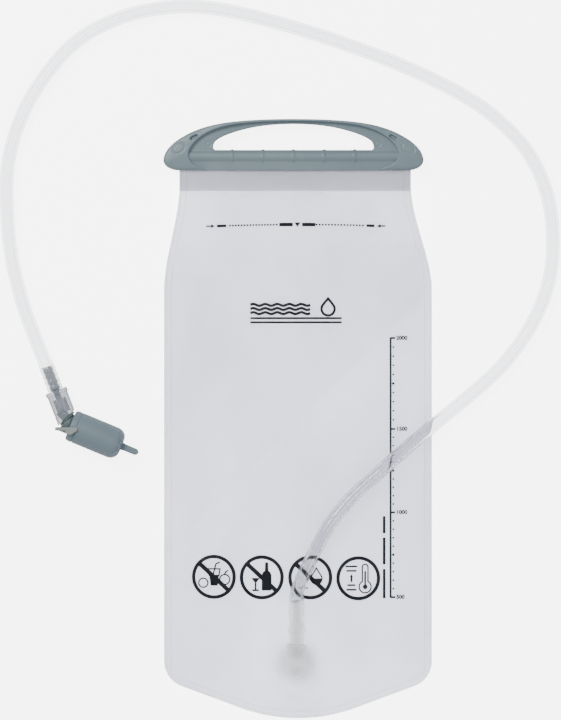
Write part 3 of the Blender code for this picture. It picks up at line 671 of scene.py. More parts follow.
def film_height(x, y):
    """Height of the front film's middle at a place, from the panel's own coordinates."""
    low, high = CORNER_Y, 173 * MM
    across = x / BAG_HALF_WIDTH
    for _ in range(22):
        side_y = (low + high) / 2
        across = (x - middle_x(side_y)) / half_width(side_y)
        if panel_point(across, side_y)[1] < y:
            low = side_y
        else:
            high = side_y
    return front_z(across, side_y)


def stroke(points, width, closed=False):
    """A line of even width along points, as (points, faces) in mm."""
    points = [Vector(p) for p in points]
    count, sides = len(points), []
    for i, here in enumerate(points):
        before = points[i - 1] if closed or i else here
        after = points[(i + 1) % count] if closed or i < count - 1 else here
        a = (here - before).normalized() if (here - before).length else (after - here).normalized()
        b = (after - here).normalized() if (after - here).length else a
        normal = (Vector((-a.y, a.x)) + Vector((-b.y, b.x))).normalized()
        reach = width / 2 / max(normal.dot(Vector((-a.y, a.x))), 0.5)
        sides += [here + normal * reach, here - normal * reach]
    steps = count if closed else count - 1
    faces = [(2 * i, 2 * i + 1, 2 * ((i + 1) % count) + 1, 2 * ((i + 1) % count)) for i in range(steps)]
    return sides, faces


def line(start, end, width):
    count = max(1, round((Vector(end) - Vector(start)).length / 3))
    return stroke([Vector(start).lerp(Vector(end), i / count) for i in range(count + 1)], width)


def circle(x, y, radius, turn=(0, 360), count=48):
    angles = [math.radians(turn[0] + (turn[1] - turn[0]) * i / count) for i in range(count)]
    return [(x + radius * math.cos(a), y + radius * math.sin(a)) for a in angles]


def area(outline):
    return [Vector(p) for p in outline], [tuple(range(len(outline)))]


def disc(x, y, radius, count=14):
    return area(circle(x, y, radius, count=count))


def number(value, x, y, size):
    """Numerals of a scale, their middle height at y, as (points, faces) in mm."""
    text = bpy.data.curves.new("number", "FONT")
    text.body, text.size, text.align_y = str(value), size, "CENTER"
    text.resolution_u, text.offset = 3, 0.2
    obj = bpy.data.objects.new("number", text)
    bpy.context.scene.collection.objects.link(obj)
    bpy.context.view_layer.update()
    mesh = obj.evaluated_get(bpy.context.evaluated_depsgraph_get()).to_mesh()
    points = [Vector((x + v.co.x, y + v.co.y)) for v in mesh.vertices]
    faces = [tuple(p.vertices) for p in mesh.polygons]
    bpy.data.objects.remove(obj)
    return points, faces


def printed(name, patches):
    """Patches given in mm, laid on the front film as thin closed slabs of ink."""
    points, faces = [], []
    for order, (flat, patch_faces) in enumerate(patches):
        lift = INK_RISE + FILM_THICK / 2 + order * 0.0006 * MM
        base, count = len(points), len(flat)
        heights = [film_height(p.x * MM, p.y * MM) for p in flat]
        points += [Vector((p.x * MM, p.y * MM, z + lift)) for p, z in zip(flat, heights)]
        points += [Vector((p.x * MM, p.y * MM, z - INK_SINK)) for p, z in zip(flat, heights)]
        edges = {}
        for face in patch_faces:
            faces.append(tuple(base + i for i in face))
            faces.append(tuple(base + count + i for i in reversed(face)))
            for a, b in zip(face, face[1:] + face[:1]):
                edges[(a, b)] = edges.get((a, b), 0) + 1
        for a, b in edges:
            if (b, a) not in edges:
                faces.append((base + b, base + a, base + count + a, base + count + b))
    piece(name, points, faces, INK, "bladder", smooth=False)


# Sizes of the print in mm.
DOT_PITCH, DOT_RADIUS, ARROW_LONG, ARROW_HALF = 2.1, 0.78, 2.6, 1.4
WAVE_HEIGHT, WAVE_STROKE, RULE_STROKE, DROP_STROKE = 0.62, 1.95, 1.5, 1.8
SCALE_X, SCALE_STROKE, TICK_LONG, TICK_STROKE, NUMERAL = 64.8, 1.5, 3.3, 1.4, 3.9
SCALE_MARKS = ((2000, 57.05), (1500, -6.6), (1000, -65.0), (500, -124.3))
SYMBOL_RADIUS, SYMBOL_STROKE, BAR_STROKE = 14.2, 2.5, 3.1
FINE, THIN, MEDIUM = 1.0, 1.1, 1.25


def fill_line_y(x):
    return 136.4 - 1.2 * (x / 62) ** 2


def make_fill_line():
    """Dotted level line with an arrow at each end and a plain level mark in the middle."""
    marks = []
    for first, last in ((-47.6, -15.0), (13.0, 45.4)):
        count = round((last - first) / DOT_PITCH)
        for x in (first + (last - first) * i / count for i in range(count + 1)):
            marks.append(disc(x, fill_line_y(x), DOT_RADIUS, 8))
    for side, tip, tail in ((1, -58.2, -64.4), (-1, 55.2, 61.2)):
        y, back = fill_line_y(tip), tip - side * ARROW_LONG
        marks.append(line((tail, y), (tip - side * 1.5, y), FINE))
        marks.append(area([(tip, y), (back, y + ARROW_HALF), (back, y - ARROW_HALF)]))
    for first, last, width in ((-56.8, -50.2, 1.9), (47.8, 53.6, 1.9), (-13.2, -3.6, 2.5), (2.8, 12.2, 2.5)):
        marks.append(line((first, fill_line_y(first)), (last, fill_line_y(last)), width))
    marks.append(area([(-2.6, 137.9), (-0.4, 134.7), (1.8, 137.9)]))
    printed("fill_line_print", marks)


def make_emblem():
    """A plain water emblem: three waves, two rules and a drop."""
    marks = []
    for y in (80.2, 77.3, 74.4):
        wave = [(-33.4 + 42 * i / 60, y + WAVE_HEIGHT * math.sin(math.pi * i / 6)) for i in range(61)]
        marks.append(stroke(wave, WAVE_STROKE))
    for y in (70.9, 68.0):
        marks.append(line((-33.4, y), (30.6, y), RULE_STROKE))
    marks.append(stroke(drop_outline(21, 77.4, 4.6, (4.4, 7.2), 2.392, 30), DROP_STROKE, closed=True))
    printed("emblem_print", marks)


def drop_outline(x, y, radius, heights, half, count):
    """A water drop: a round bottom, drawn in at the shoulder to a point."""
    shoulder, tip = heights
    bottom = circle(x, y, radius, (150, 390), count)
    return bottom + [(x + half, y + shoulder), (x, y + tip), (x - half, y + shoulder)]


def make_scale():
    """Volume scale: a long rule with a numbered tick each half litre and nine dots between."""
    x, top, bottom = SCALE_X, SCALE_MARKS[0][1], SCALE_MARKS[-1][1]
    marks = [line((x, top + 0.45), (x, bottom - 0.45), SCALE_STROKE)]
    for value, y in SCALE_MARKS:
        marks += [line((x, y), (x + TICK_LONG, y), TICK_STROKE), number(value, x + 4.0, y, NUMERAL)]
    for (_, high), (_, low) in zip(SCALE_MARKS, SCALE_MARKS[1:]):
        for i in range(1, 10):
            marks.append(disc(x + 1.9, high + (low - high) * i / 10, 1.0 if i == 5 else 0.72, 8))
    for first, last in ((-125, -104.6), (-101.4, -82.6), (-79.6, -67.6)):
        marks.append(line((x - 4.5, first), (x - 4.5, last), 1.9))
    printed("scale_print", marks)


def symbol(x, y, barred, drawing):
    """A ring with its middle at a place, perhaps barred, round a drawing made about the origin."""
    marks = [stroke(circle(0, 0, SYMBOL_RADIUS, count=72), SYMBOL_STROKE, closed=True)]
    if barred:
        wide, high = (SYMBOL_RADIUS - 0.6) * 0.7354, (SYMBOL_RADIUS - 0.6) * 0.6788
        marks.append(line((-wide, high), (wide, -high), BAR_STROKE))
    return [([p + Vector((x, y)) for p in points], faces) for points, faces in marks + drawing]


def make_symbols():
    """Four round symbols of plain shapes: cup and fruit, bottle and glass, drop, thermometer."""
    marks = symbol(-58.87, -110.04, True, [
        area([(-3.2, 1.4), (-2.2, -6.2), (2.6, -6.2), (3.6, 1.4)]),
        stroke([(-3.9, 5.6), (-3.2, 1), (3.6, 1), (4.3, 5.6)], FINE, closed=True),
        stroke([(-0.4, 2), (1.4, 9), (4.2, 10.4)], THIN),
        stroke(circle(7.6, -1.8, 3.5, count=28), FINE, closed=True),
        stroke([(7.4, 1.6), (8.4, 3.6), (10, 4.6)], THIN),
        stroke(circle(-7.4, -4.2, 3.2, count=28), FINE, closed=True)])
    marks += symbol(-25.34, -110.25, True, [
        area([(0.4, -9.2), (6.4, -9.2), (6.8, -8.6), (6.8, 1.6), (6, 3.6), (4.6, 4.8), (4.5, 10.6),
              (2.3, 10.6), (2.2, 4.8), (0.8, 3.6), (0, 1.6), (0, -8.6)]),
        area([(-7.4, -0.4), (-1.2, -0.4), (-4.3, -4.4)]),
        line((-4.3, -4), (-4.3, -8.8), MEDIUM), line((-6.6, -9), (-2, -9), 1.3)])
    marks += symbol(8.54, -110.25, True, [
        stroke(drop_outline(4.3, -0.8, 3.9, (4.2, 7.4), 1.9, 24), FINE, closed=True),
        area(circle(4.3, -0.8, 3.6, (180, 372), 20)), line((-7.6, -7.4), (-1.4, -7.4), THIN)])
    tube_outline = [(2.8, -2.4), (2.8, 7.8)] + circle(4.8, 7.8, 2, (170, 10), 8)
    tube_outline += [(6.8, 7.8), (6.8, -2.4)] + circle(4.8, -6, 4.2, (58, -238), 26)
    levels = ((8.3, 4.2), (5.2, 3.6), (-4.8, 2.8), (-8, 3.6))
    marks += symbol(42.14, -110.95, False, [
        stroke(tube_outline, FINE, closed=True), disc(4.8, -6, 1.7), line((4.8, -5), (4.8, 5), MEDIUM),
        line((-4.8, -2.6), (-4.8, 1.4), 1.5), area([(-6.1, 0.8), (-3.5, 0.8), (-4.8, 2.9)])]
        + [line((-4.8 - half, y), (-4.8 + half, y), MEDIUM) for y, half in levels])
    printed("symbols_print", marks)


make_fill_line()
make_emblem()
make_scale()
make_symbols()

# ---------------------------------------------------------------- slide lock

SLIDER_X, SLIDER_THICK, SLIDER_EDGE = -3.2 * MM, 13 * MM, 1.5 * MM
WEB_LOW, WEB_HIGH = 3.6 * MM, 9.4 * MM
CHANNEL_RADIUS, CHANNEL_HALF_LENGTH, SKIRT_HALF_HEIGHT = 4.85 * MM, 75 * MM, 3.6 * MM
RIB_RADIUS, RIB_WIDTH, RIB_PITCH, RIB_COUNT = 5.5 * MM, 0.9 * MM, 21.4 * MM, 5
BORE_RADIUS, BORE_END_X, SLOT_HALF_HEIGHT = 3.25 * MM, 82.5 * MM, 1.6 * MM
SLOT_X, SLOT_Y, SLOT_LENGTH, SLOT_WIDTH, SLOT_TILT, SLOT_DEPTH = 69.5, 197.2, 5.8, 2.3, 28, 2.6 * MM
LOBE_X, LOBE_BLEND, CROWN, CROWN_RUN = 50 * MM, 14 * MM, 0.26, 5.5 * MM
OVAL_X, OVAL_Y, OVAL_TILT, OVAL_LONG, OVAL_SHORT = 80.2 * MM, 189.6 * MM, 0.55, 4.6 * MM, 3.2 * MM
OVAL_DEPTH, MARK_X, MARK_Y, MARK_RADIUS, MARK_DEPTH = 0.42 * MM, 59.2 * MM, 192.6 * MM, 1.5 * MM, 0.3 * MM
SLIDER_OUTER = (
    (0, 210.1), (16, 209.9), (31, 209.2), (44, 208), (55, 206.2), (64, 203.8), (71, 201.1),
    (77, 198), (82, 194.8), (85.7, 191.6), (88.4, 188.4), (90.2, 185), (91, 181.6), (90.2, 178.6),
    (87.4, 176.2), (82.5, 174.6), (76, 174.3),
)
FINGER_OPENING = (
    (0, 206.9), (12, 206.5), (24, 205.2), (34, 203.2), (43, 200.6), (50, 197.8), (54.4, 195),
    (56, 192), (56, 189.6), (54.4, 188.2), (52, 188),
)
RECESS = (
    (0, 208.5), (16, 208.2), (31, 207.3), (44, 205.6), (54, 203), (62, 199.4), (68, 195),
    (72, 190), (73.4, 185.4), (72.2, 181), (68.6, 177.6), (63, 175.6), (62, 172),
)


def ribbed_channel(x0, x1):
    profile = [(0, 0), (0, CHANNEL_RADIUS)]
    for i in range(RIB_COUNT):
        middle = (x1 - x0) / 2 + (i - (RIB_COUNT - 1) / 2) * RIB_PITCH
        for along, radius in ((-RIB_WIDTH, CHANNEL_RADIUS), (-RIB_WIDTH / 2, RIB_RADIUS),
                              (RIB_WIDTH / 2, RIB_RADIUS), (RIB_WIDTH, CHANNEL_RADIUS)):
            profile.append((middle + along, radius))
    profile += [(x1 - x0, CHANNEL_RADIUS), (x1 - x0, 0)]
    return turned("channel", Vector((x0, AXIS_Y, AXIS_Z)), Vector((1, 0, 0)), profile, 48)


def keyhole(x0, x1):
    """The bore and the slot below it, as one cutter along X."""
    opening = math.asin(SLOT_HALF_HEIGHT / BORE_RADIUS)
    outline = [(AXIS_Y - 20 * MM, AXIS_Z + SLOT_HALF_HEIGHT), (AXIS_Y - 20 * MM, AXIS_Z - SLOT_HALF_HEIGHT)]
    steps = 30
    for i in range(steps + 1):
        angle = -math.pi + opening + 2 * (math.pi - opening) * i / steps
        outline.append((AXIS_Y + BORE_RADIUS * math.cos(angle), AXIS_Z + BORE_RADIUS * math.sin(angle)))
    return stack("keyhole", [[(x, y, z) for y, z in outline] for x in (x0, x1)])


def box(name, low, high):
    outline = [(low[0], low[1]), (high[0], low[1]), (high[0], high[1]), (low[0], high[1])]
    return prism(name, outline, low[2], high[2])


def stadium(x, y, length, width, tilt):
    """Outline of a slot with round ends, turned by tilt degrees, from sizes in mm."""
    turn, radius, steps = math.radians(tilt), width / 2, 8
    outline = []
    for end in (1, -1):
        for i in range(steps + 1):
            angle = math.pi * (i / steps - 0.5)
            across = end * (length / 2 - radius + radius * math.cos(angle))
            above = end * radius * math.sin(angle)
            outline.append(((x + across * math.cos(turn) - above * math.sin(turn)) * MM,
                            (y + across * math.sin(turn) + above * math.cos(turn)) * MM))
    return outline


def make_slider():
    slider = prism("slide_lock_body", mirrored(SLIDER_OUTER, SLIDER_X), 0, SLIDER_THICK, SLIDER_EDGE)
    recess = mirrored(RECESS, SLIDER_X)
    above = SLIDER_THICK + MM
    combine(slider, prism("front_recess", recess, WEB_HIGH, above), "DIFFERENCE")
    combine(slider, prism("back_recess", recess, -MM, WEB_LOW), "DIFFERENCE")
    combine(slider, prism("opening", mirrored(FINGER_OPENING, SLIDER_X), -MM, above), "DIFFERENCE")
    left, right = SLIDER_X - CHANNEL_HALF_LENGTH, SLIDER_X + CHANNEL_HALF_LENGTH
    combine(slider, ribbed_channel(left, right), "UNION")
    combine(slider, box("skirt", (left, SLIDER_OUTER[-1][1] * MM, AXIS_Z - SKIRT_HALF_HEIGHT),
                        (right, AXIS_Y, AXIS_Z + SKIRT_HALF_HEIGHT)), "UNION")
    combine(slider, keyhole(SLIDER_X - 100 * MM, BORE_END_X), "DIFFERENCE")
    for side in (-1, 1):
        outline = stadium(SLIDER_X / MM + side * SLOT_X, SLOT_Y, SLOT_LENGTH, SLOT_WIDTH, -side * SLOT_TILT)
        combine(slider, prism("slot", outline, SLIDER_THICK - SLOT_DEPTH, above), "DIFFERENCE")
    soften(slider, 0.42 * MM, 4)
    crown(slider)
    slider.data.shade_smooth()
    paint(slider, SLIDER)
    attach(slider, "slide_lock")
    stand_for(slider, "slider_plastic", "slider")


def crown(slider):
    """Domes both faces towards the rim, and presses in the faint oval and round marks of the front."""
    count = len(slider.data.vertices)
    co = np.empty(count * 3, np.float32)
    slider.data.vertices.foreach_get("co", co)
    co = co.reshape(-1, 3)
    rim = np.array(mirrored(SLIDER_OUTER, SLIDER_X))
    away = np.full(count, 1.0)
    for one, two in zip(rim, np.roll(rim, -1, axis=0)):
        along = two - one
        t = np.clip(((co[:, :2] - one) @ along) / max(along @ along, 1e-12), 0, 1)
        away = np.minimum(away, np.linalg.norm(co[:, :2] - one - t[:, None] * along, axis=1))
    middle = SLIDER_THICK / 2
    height = co[:, 2] - middle
    outside = np.clip((np.abs(co[:, 0] - SLIDER_X) - LOBE_X) / LOBE_BLEND, 0, 1)
    drop = CROWN * outside * np.exp(-away / CROWN_RUN) * (np.abs(height) > 2 * MM)
    co[:, 2] = middle + height * (1 - drop)
    front = co[:, 2] > middle + 2 * MM
    for side in (-1, 1):
        dx, dy = co[:, 0] - (SLIDER_X + side * OVAL_X), co[:, 1] - OVAL_Y
        turn = -side * OVAL_TILT
        a, b = dx * math.cos(turn) + dy * math.sin(turn), -dx * math.sin(turn) + dy * math.cos(turn)
        ring = np.hypot(a / OVAL_LONG, b / OVAL_SHORT)
        co[:, 2] -= front * OVAL_DEPTH * np.exp(-(((ring - 1) / 0.14) ** 2))
        mark = np.hypot(co[:, 0] - (SLIDER_X + side * MARK_X), co[:, 1] - MARK_Y)
        co[:, 2] -= front * MARK_DEPTH * np.exp(-(((mark - MARK_RADIUS) / (0.45 * MM)) ** 2))
    slider.data.vertices.foreach_set("co", co.reshape(-1))
    slider.data.update()


make_slider()

# ---------------------------------------------------------------- outlet port and spigot

FLANGE_THICK, FLANGE_LIP, BOSS_RADIUS = 1.2 * MM, 0.4 * MM, 6.0 * MM
SPIGOT_Z, HOUSING_RADIUS = 16 * MM, 6.65 * MM
HOUSING_BACK_Y, HOUSING_FRONT_Y, SPIGOT_TIP_Y = -180.3 * MM, -156.5 * MM, -125.7 * MM
PASSAGE_RADIUS, PLUG_RADIUS = 2.2 * MM, 4.3 * MM


def make_port():
    """Flange under the film, boss through it and the round-ended housing above, with its passage."""
    top = PORT_FILM_Z - FILM_THICK / 2 - 0.3 * MM
    up, forward = Vector((0, 0, 1)), Vector((0, 1, 0))
    foot = Vector((PORT_X, PORT_Y, top - FLANGE_THICK))
    boss_top = SPIGOT_Z - foot.z - 1.3 * MM
    port = turned("port_body", foot, up, [(0, 0), (0, BOSS_RADIUS), (boss_top, BOSS_RADIUS), (boss_top, 0)])
    inner = BOSS_RADIUS + 0.05 * MM
    flange = turned("port_flange", foot, up, [
        (0, inner), (0, FLANGE_RADIUS - FLANGE_LIP), (FLANGE_LIP, FLANGE_RADIUS),
        (2 * FLANGE_LIP, FLANGE_RADIUS), (FLANGE_THICK, FLANGE_RADIUS - FLANGE_LIP), (FLANGE_THICK, inner)],
        96, FLANGE, "bladder", closed=True)
    shade(flange)
    back = Vector((PORT_X, HOUSING_BACK_Y, SPIGOT_Z))
    radius, length = HOUSING_RADIUS, HOUSING_FRONT_Y - HOUSING_BACK_Y
    nose = [(radius * (1 - math.cos(a)), radius * math.sin(a)) for a in np.linspace(0.2, 1.5, 9)]
    housing = turned("housing", back, forward, [(0, 0)] + nose + [
        (radius, radius), (8.6 * MM, radius), (8.8 * MM, radius + 0.3 * MM), (9.9 * MM, radius + 0.3 * MM),
        (10.1 * MM, radius), (length - 3.2 * MM, radius), (length - 3 * MM, radius + 0.35 * MM),
        (length - 0.6 * MM, radius + 0.35 * MM), (length, radius - 0.3 * MM), (length, 0)])
    combine(port, housing, "UNION")
    room = length - 9 * MM
    combine(port, turned("inlet", foot - up * MM, up, [
        (0, 0), (0, PASSAGE_RADIUS + MM), (boss_top + 2 * MM, PASSAGE_RADIUS + MM), (boss_top + 2 * MM, 0)]),
        "DIFFERENCE")
    combine(port, turned("socket", back + forward * 7.2 * MM, forward, [
        (0, 0), (0, PASSAGE_RADIUS), (room - 7.2 * MM, PASSAGE_RADIUS),
        (room - 7.2 * MM, PLUG_RADIUS + 0.3 * MM), (room + 5 * MM, PLUG_RADIUS + 0.3 * MM),
        (room + 5 * MM, 0)]), "DIFFERENCE")
    soften(port, 0.4 * MM, 2)
    port.data.shade_smooth()
    paint(port, PORT)
    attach(port, "bladder")
    return [stand_for(port, "port_plastic", "outlet_port"), stand_for(flange, "port_plastic")]


def make_spigot():
    """Plug, neck, collar and three barbs, hollow all the way."""
    start = Vector((PORT_X, HOUSING_FRONT_Y - 8 * MM, SPIGOT_Z))
    tip = SPIGOT_TIP_Y - start.y
    outside = [(0, PLUG_RADIUS), (8.3 * MM, PLUG_RADIUS)]
    outside += mm((8.3, 5.4), (16.3, 5.4), (16.3, 6.3), (20.4, 6.3), (20.4, 2.9))
    for back in (14.4 * MM, 9.6 * MM, 4.8 * MM):
        outside += [(tip - back, 2.9 * MM), (tip - back, 3.5 * MM), (tip - back + 4.2 * MM, 2.9 * MM)]
    outside += [(tip, 2.9 * MM), (tip, PASSAGE_RADIUS), (0, PASSAGE_RADIUS)]
    section = rounded(outside, 0.35 * MM, True)
    spigot = turned("spigot_body", start, Vector((0, 1, 0)), section, 56, SPIGOT, "bladder", closed=True)
    shade(spigot)
    return stand_for(spigot, "spigot_plastic", "hose_spigot")


SEE_THROUGH += [*make_port(), make_spigot()]

# ---------------------------------------------------------------- drinking valve

OUTLET_AXIS = Vector((0.923, -0.384, 0)).normalized()
MITRE_AXIS = (BODY_AXIS + OUTLET_AXIS).normalized()
PIVOT = BEND - BODY_AXIS * 4.9 * MM
BODY_COLLAR = -25.1 * MM
STEM_RADIUS, SOCKET_RADIUS = 3.1 * MM, 3.4 * MM
CAP_START = BEND + OUTLET_AXIS * 1.5 * MM
CAP_LENGTH, CAP_RADIUS, CAP_WALL = 38.4 * MM, 11.15 * MM, 1.3 * MM
CUFF_RADIUS, TAB_THICK = 7 * MM, 2.8 * MM
STRAP_SIDES, STRAP_LOW, STRAP_HIGH, STRAP_ROOT = (-4.25, -2.05), 11.6 * MM, 12.5 * MM, 7.6 * MM
STRAP_PAD = ((-0.6, -2.2), (6.2, -2), (6.4, -4.6), (1.6, -7.4), (-2, -5.8))


def rod_tool(start, axis, low, high, radius, segments=48):
    return turned("tool", start, axis, [(low, 0), (low, radius), (high, radius), (high, 0)], segments)


def make_valve_body():
    """Clear body: four barbs, a collar and a sleeve cut off at the mitre plane."""
    outside = [(BARB_TIP, 0)]
    for i in range(4):
        back = BARB_TIP + i * 4.3 * MM
        outside += [(back, 2.9 * MM), (back + 3.6 * MM, 3.65 * MM), (back + 3.6 * MM, 2.9 * MM)]
    outside += [(BODY_COLLAR, 2.9 * MM), (BODY_COLLAR, 7.85 * MM), (BODY_COLLAR + 2.8 * MM, 7.85 * MM)]
    outside += [(BODY_COLLAR + 2.8 * MM, 7.3 * MM)]
    outside += mm((-9, 7.3), (-8.7, 7.05), (-8.2, 7.05), (-7.9, 7.3), (4, 7.3), (4, 0))
    body = turned("valve_sleeve", BEND, BODY_AXIS, rounded(outside, 0.3 * MM), 56)
    combine(body, rod_tool(PIVOT, MITRE_AXIS, 0, 30 * MM, 25 * MM), "DIFFERENCE")
    combine(body, rod_tool(BEND, BODY_AXIS, BARB_TIP - MM, -17 * MM, PASSAGE_RADIUS), "DIFFERENCE")
    combine(body, rod_tool(BEND, BODY_AXIS, -19 * MM, -8.9 * MM, 4.6 * MM), "DIFFERENCE")
    combine(body, rod_tool(PIVOT, MITRE_AXIS, -6.5 * MM, MM, SOCKET_RADIUS), "DIFFERENCE")
    shade(body)
    paint(body, CLEAR)
    paint_beyond(body, BODY_BARBS, BEND + BODY_AXIS * (BODY_COLLAR + 0.2 * MM), -BODY_AXIS)
    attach(body, "bladder")
    return stand_for(body, "body_clear", "valve_body")


def make_outlet_elbow():
    """Stem with two ring grooves, flange on the mitre plane and the outlet that carries the mouthpiece."""
    stem = [(-6.1 * MM, 0), (-6.1 * MM, STEM_RADIUS)]
    for groove in (-4.6 * MM, -2.2 * MM):
        stem += [(groove - 0.7 * MM, STEM_RADIUS), (groove - 0.7 * MM, 2.1 * MM),
                 (groove + 0.7 * MM, 2.1 * MM), (groove + 0.7 * MM, STEM_RADIUS)]
    stem += [(0.3 * MM, STEM_RADIUS)] + mm((0.3, 6.6), (1.5, 6.6), (1.5, 5.3), (4, 5.3), (4, 0))
    elbow = turned("elbow_body", PIVOT, MITRE_AXIS, stem, 48)
    outlet = mm((-1.4, 0), (-1.4, 5.4), (8.4, 5.4), (8.4, 4.4), (20, 4.4), (20, 0))
    combine(elbow, turned("outlet", BEND, OUTLET_AXIS, outlet, 48), "UNION")
    combine(elbow, rod_tool(BEND, OUTLET_AXIS, -0.4 * MM, 22 * MM, 2.4 * MM, 32), "DIFFERENCE")
    combine(elbow, rod_tool(PIVOT, MITRE_AXIS, -8 * MM, 4.6 * MM, 1.4 * MM, 24), "DIFFERENCE")
    shade(elbow)
    paint(elbow, ELBOW)
    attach(elbow, "outlet")
    return stand_for(elbow, "elbow_plastic", "outlet_elbow")


def make_o_rings():
    thick, rings = 0.5 * MM, []
    for name, along in (("inner_ring", -4.6 * MM), ("outer_ring", -2.2 * MM)):
        section = [(along + thick * math.cos(a), 2.75 * MM + thick * math.sin(a))
                   for a in (math.radians(30 * k) for k in range(12))]
        ring = turned(name, PIVOT, MITRE_AXIS, section, 48, RUBBER, "outlet", closed=True)
        rings.append(stand_for(ring, "o_ring_rubber", "stem_o_ring_" + name.split("_")[0]))
    return rings


def make_bite_valve():
    """Silicone mouthpiece over the outlet's end, with a closed, domed tip."""
    outside = mm((0, 7.6), (2, 8.6), (9, 8.6), (13, 7), (20, 6.8), (25, 5.4), (26.6, 3))
    section = rounded(outside, 1.2 * MM) + mm((27, 0), (24.8, 0), (24, 3), (11.5, 4.7), (0, 4.7))
    foot = BEND + OUTLET_AXIS * 8.8 * MM
    bite = turned("mouthpiece", foot, OUTLET_AXIS, section, 56, BITE, "outlet", closed=True)
    shade(bite, 50)
    return stand_for(bite, "bite_silicone", "bite_valve")


def make_dust_cap():
    """Round-ended cap, open towards the elbow, with a ring groove and its flat pull tab."""
    wall, radius, length = CAP_WALL, CAP_RADIUS, CAP_LENGTH
    groove = radius - 0.4 * MM
    outside = rounded([
        (0, radius - wall), (0, radius - 1.05 * MM), (1.1 * MM, radius - 0.15 * MM), (4.4 * MM, radius),
        (4.6 * MM, groove), (5.1 * MM, groove), (5.3 * MM, radius)], 0.25 * MM)
    dome = [(length - 7 * MM * (1 - math.sin(a)), radius - 6.2 * MM * (1 - math.cos(a)))
            for a in np.linspace(0, 1.45, 12)]
    inside = [(length, 0), (length - wall, 0), (length - wall, radius - 5.8 * MM),
              (length - 3.6 * MM, radius - 2.4 * MM), (length - 6 * MM, radius - wall)]
    cap = turned("cap_shell", CAP_START, OUTLET_AXIS, outside + dome + inside, 72, closed=True)
    side = OUTLET_AXIS.cross(Vector((0, 0, 1)))
    start = CAP_START + OUTLET_AXIS * (length - 0.8 * MM)
    half = [(0, 3.2), (1.2, 2.7), (3, 2.4), (11.2, 2.3), (12.4, 1.9), (13.2, 1.1)]
    outline = [(0, -3.2)] + half + [(13.5, 0)] + [(a, -b) for a, b in half[:0:-1]]
    flat = [start + OUTLET_AXIS * a * MM + side * b * MM for a, b in outline]
    low, high = BEND.z - TAB_THICK / 2, BEND.z + TAB_THICK / 2
    combine(cap, prism("tab", [(p.x, p.y) for p in flat], low, high, TAB_THICK / 4), "UNION")
    shade(cap)
    paint(cap, CAP)
    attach(cap, "cap")
    return stand_for(cap, "cap_plastic", "dust_cap")


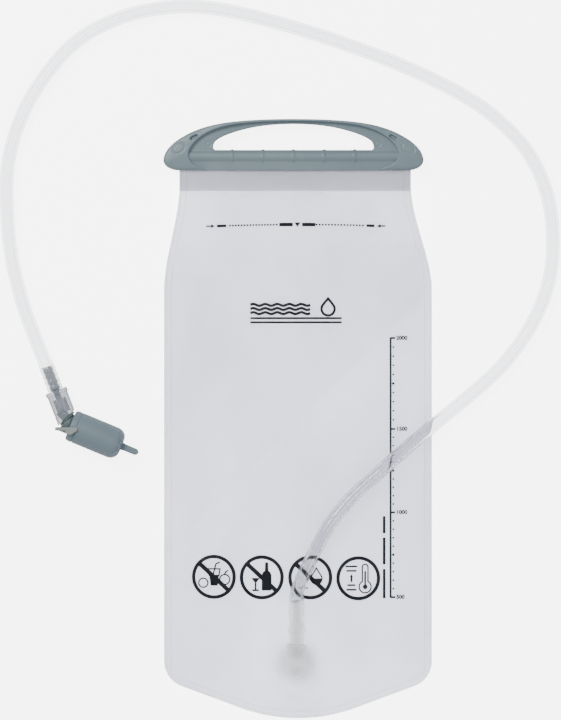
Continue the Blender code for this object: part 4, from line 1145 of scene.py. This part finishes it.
def make_cap_retainer():
    """Cuff that fills the corner between the mitre and the cap, with a strap that lies over the cap."""
    cuff = turned("retainer_band", BEND, OUTLET_AXIS, rounded([
        (-7 * MM, 0), (-7 * MM, CUFF_RADIUS), (1.2 * MM, CUFF_RADIUS), (1.2 * MM, 0)], 0.5 * MM), 56)
    combine(cuff, rod_tool(PIVOT, MITRE_AXIS, -30 * MM, 1.8 * MM, 25 * MM), "DIFFERENCE")
    combine(cuff, rod_tool(BEND, OUTLET_AXIS, -1.7 * MM, 3 * MM, 5.7 * MM), "DIFFERENCE")
    combine(cuff, rod_tool(PIVOT, MITRE_AXIS, 0, 4.3 * MM, 5.6 * MM), "DIFFERENCE")
    loop = [(-6.2, -1.2), (-9.2, -1.2), (-9.2, 8.4), (-8.2, 10.4), (-6.7, 11.9), (-4.8, 12.6), (6.6, 12.6),
            (6.6, 11.5), (-4.4, 11.5), (-5.9, 10.8), (-7.3, 9.4), (-8.1, 7.8), (-8.1, 1.2), (-6.2, 1.2)]
    sides = [[BEND + Vector((x, y, z)) * MM for x, z in loop] for y in STRAP_SIDES]
    combine(cuff, stack("strap", sides), "UNION")
    pad = [(BEND.x + x * MM, BEND.y + y * MM) for x, y in STRAP_PAD]
    combine(cuff, prism("strap_pad", pad, BEND.z + STRAP_LOW, BEND.z + STRAP_HIGH), "UNION")
    soften(cuff, 0.26 * MM, 3)
    cuff.data.shade_smooth()
    paint(cuff, ELBOW, RETAINER_AND_LIT_TOP)
    # Faces above the strap's root take the paler material: partly the strap's own tone, partly painted light
    # on faces turned up to the lamps.
    for face in cuff.data.polygons:
        face.material_index = int(face.center.z > BEND.z + STRAP_ROOT)
    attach(cuff, "outlet")
    return stand_for(cuff, "retainer_silicone", "cap_retainer")


valve = [make_valve_body(), make_outlet_elbow(), *make_o_rings(), make_bite_valve(), make_dust_cap(),
         make_cap_retainer()]

# ---------------------------------------------------------------- floor and light

FLOOR_GLOW = 5.5


def make_stage():
    """A white light table as the floor: its glow shows through the clear pieces only."""
    mesh = bpy.data.meshes.new("floor")
    size = 6.0
    corners = [(-size, -size, 0), (size, -size, 0), (size, size, 0), (-size, size, 0)]
    mesh.from_pydata(corners, [], [(0, 1, 2, 3)])
    floor = bpy.data.objects.new("floor", mesh)
    floor.location.z = -0.2 * MM
    bpy.context.scene.collection.objects.link(floor)
    nodes = Nodes("floor")
    nodes.set(Base_Color=(0.9, 0.9, 0.9, 1), Roughness=0.9, Emission_Color=(1, 1, 1, 1),
              Emission_Strength=FLOOR_GLOW)
    mesh.materials.append(nodes.material)
    lit = bpy.data.collections.new("lit_from_below")
    for obj in SEE_THROUGH:
        lit.objects.link(obj)
    floor.light_linking.receiver_collection = lit
    world = bpy.data.worlds.new("world")
    world.use_nodes = True
    world.node_tree.nodes["Background"].inputs["Color"].default_value = (0.95, 0.97, 1, 1)
    world.node_tree.nodes["Background"].inputs["Strength"].default_value = 0.55
    bpy.context.scene.world = world
    for name, place, size, power in (("key", (-0.9, 1.0, 1.7), 0.9, 34), ("fill", (1.2, -0.5, 1.6), 1.4, 9)):
        data = bpy.data.lights.new(name, "AREA")
        data.size = size
        data.energy = power
        light = bpy.data.objects.new(name, data)
        light.location = place
        light.rotation_euler = (Vector((0, 0.04, 0)) - Vector(place)).to_track_quat("-Z", "Y").to_euler()
        bpy.context.scene.collection.objects.link(light)


make_stage()
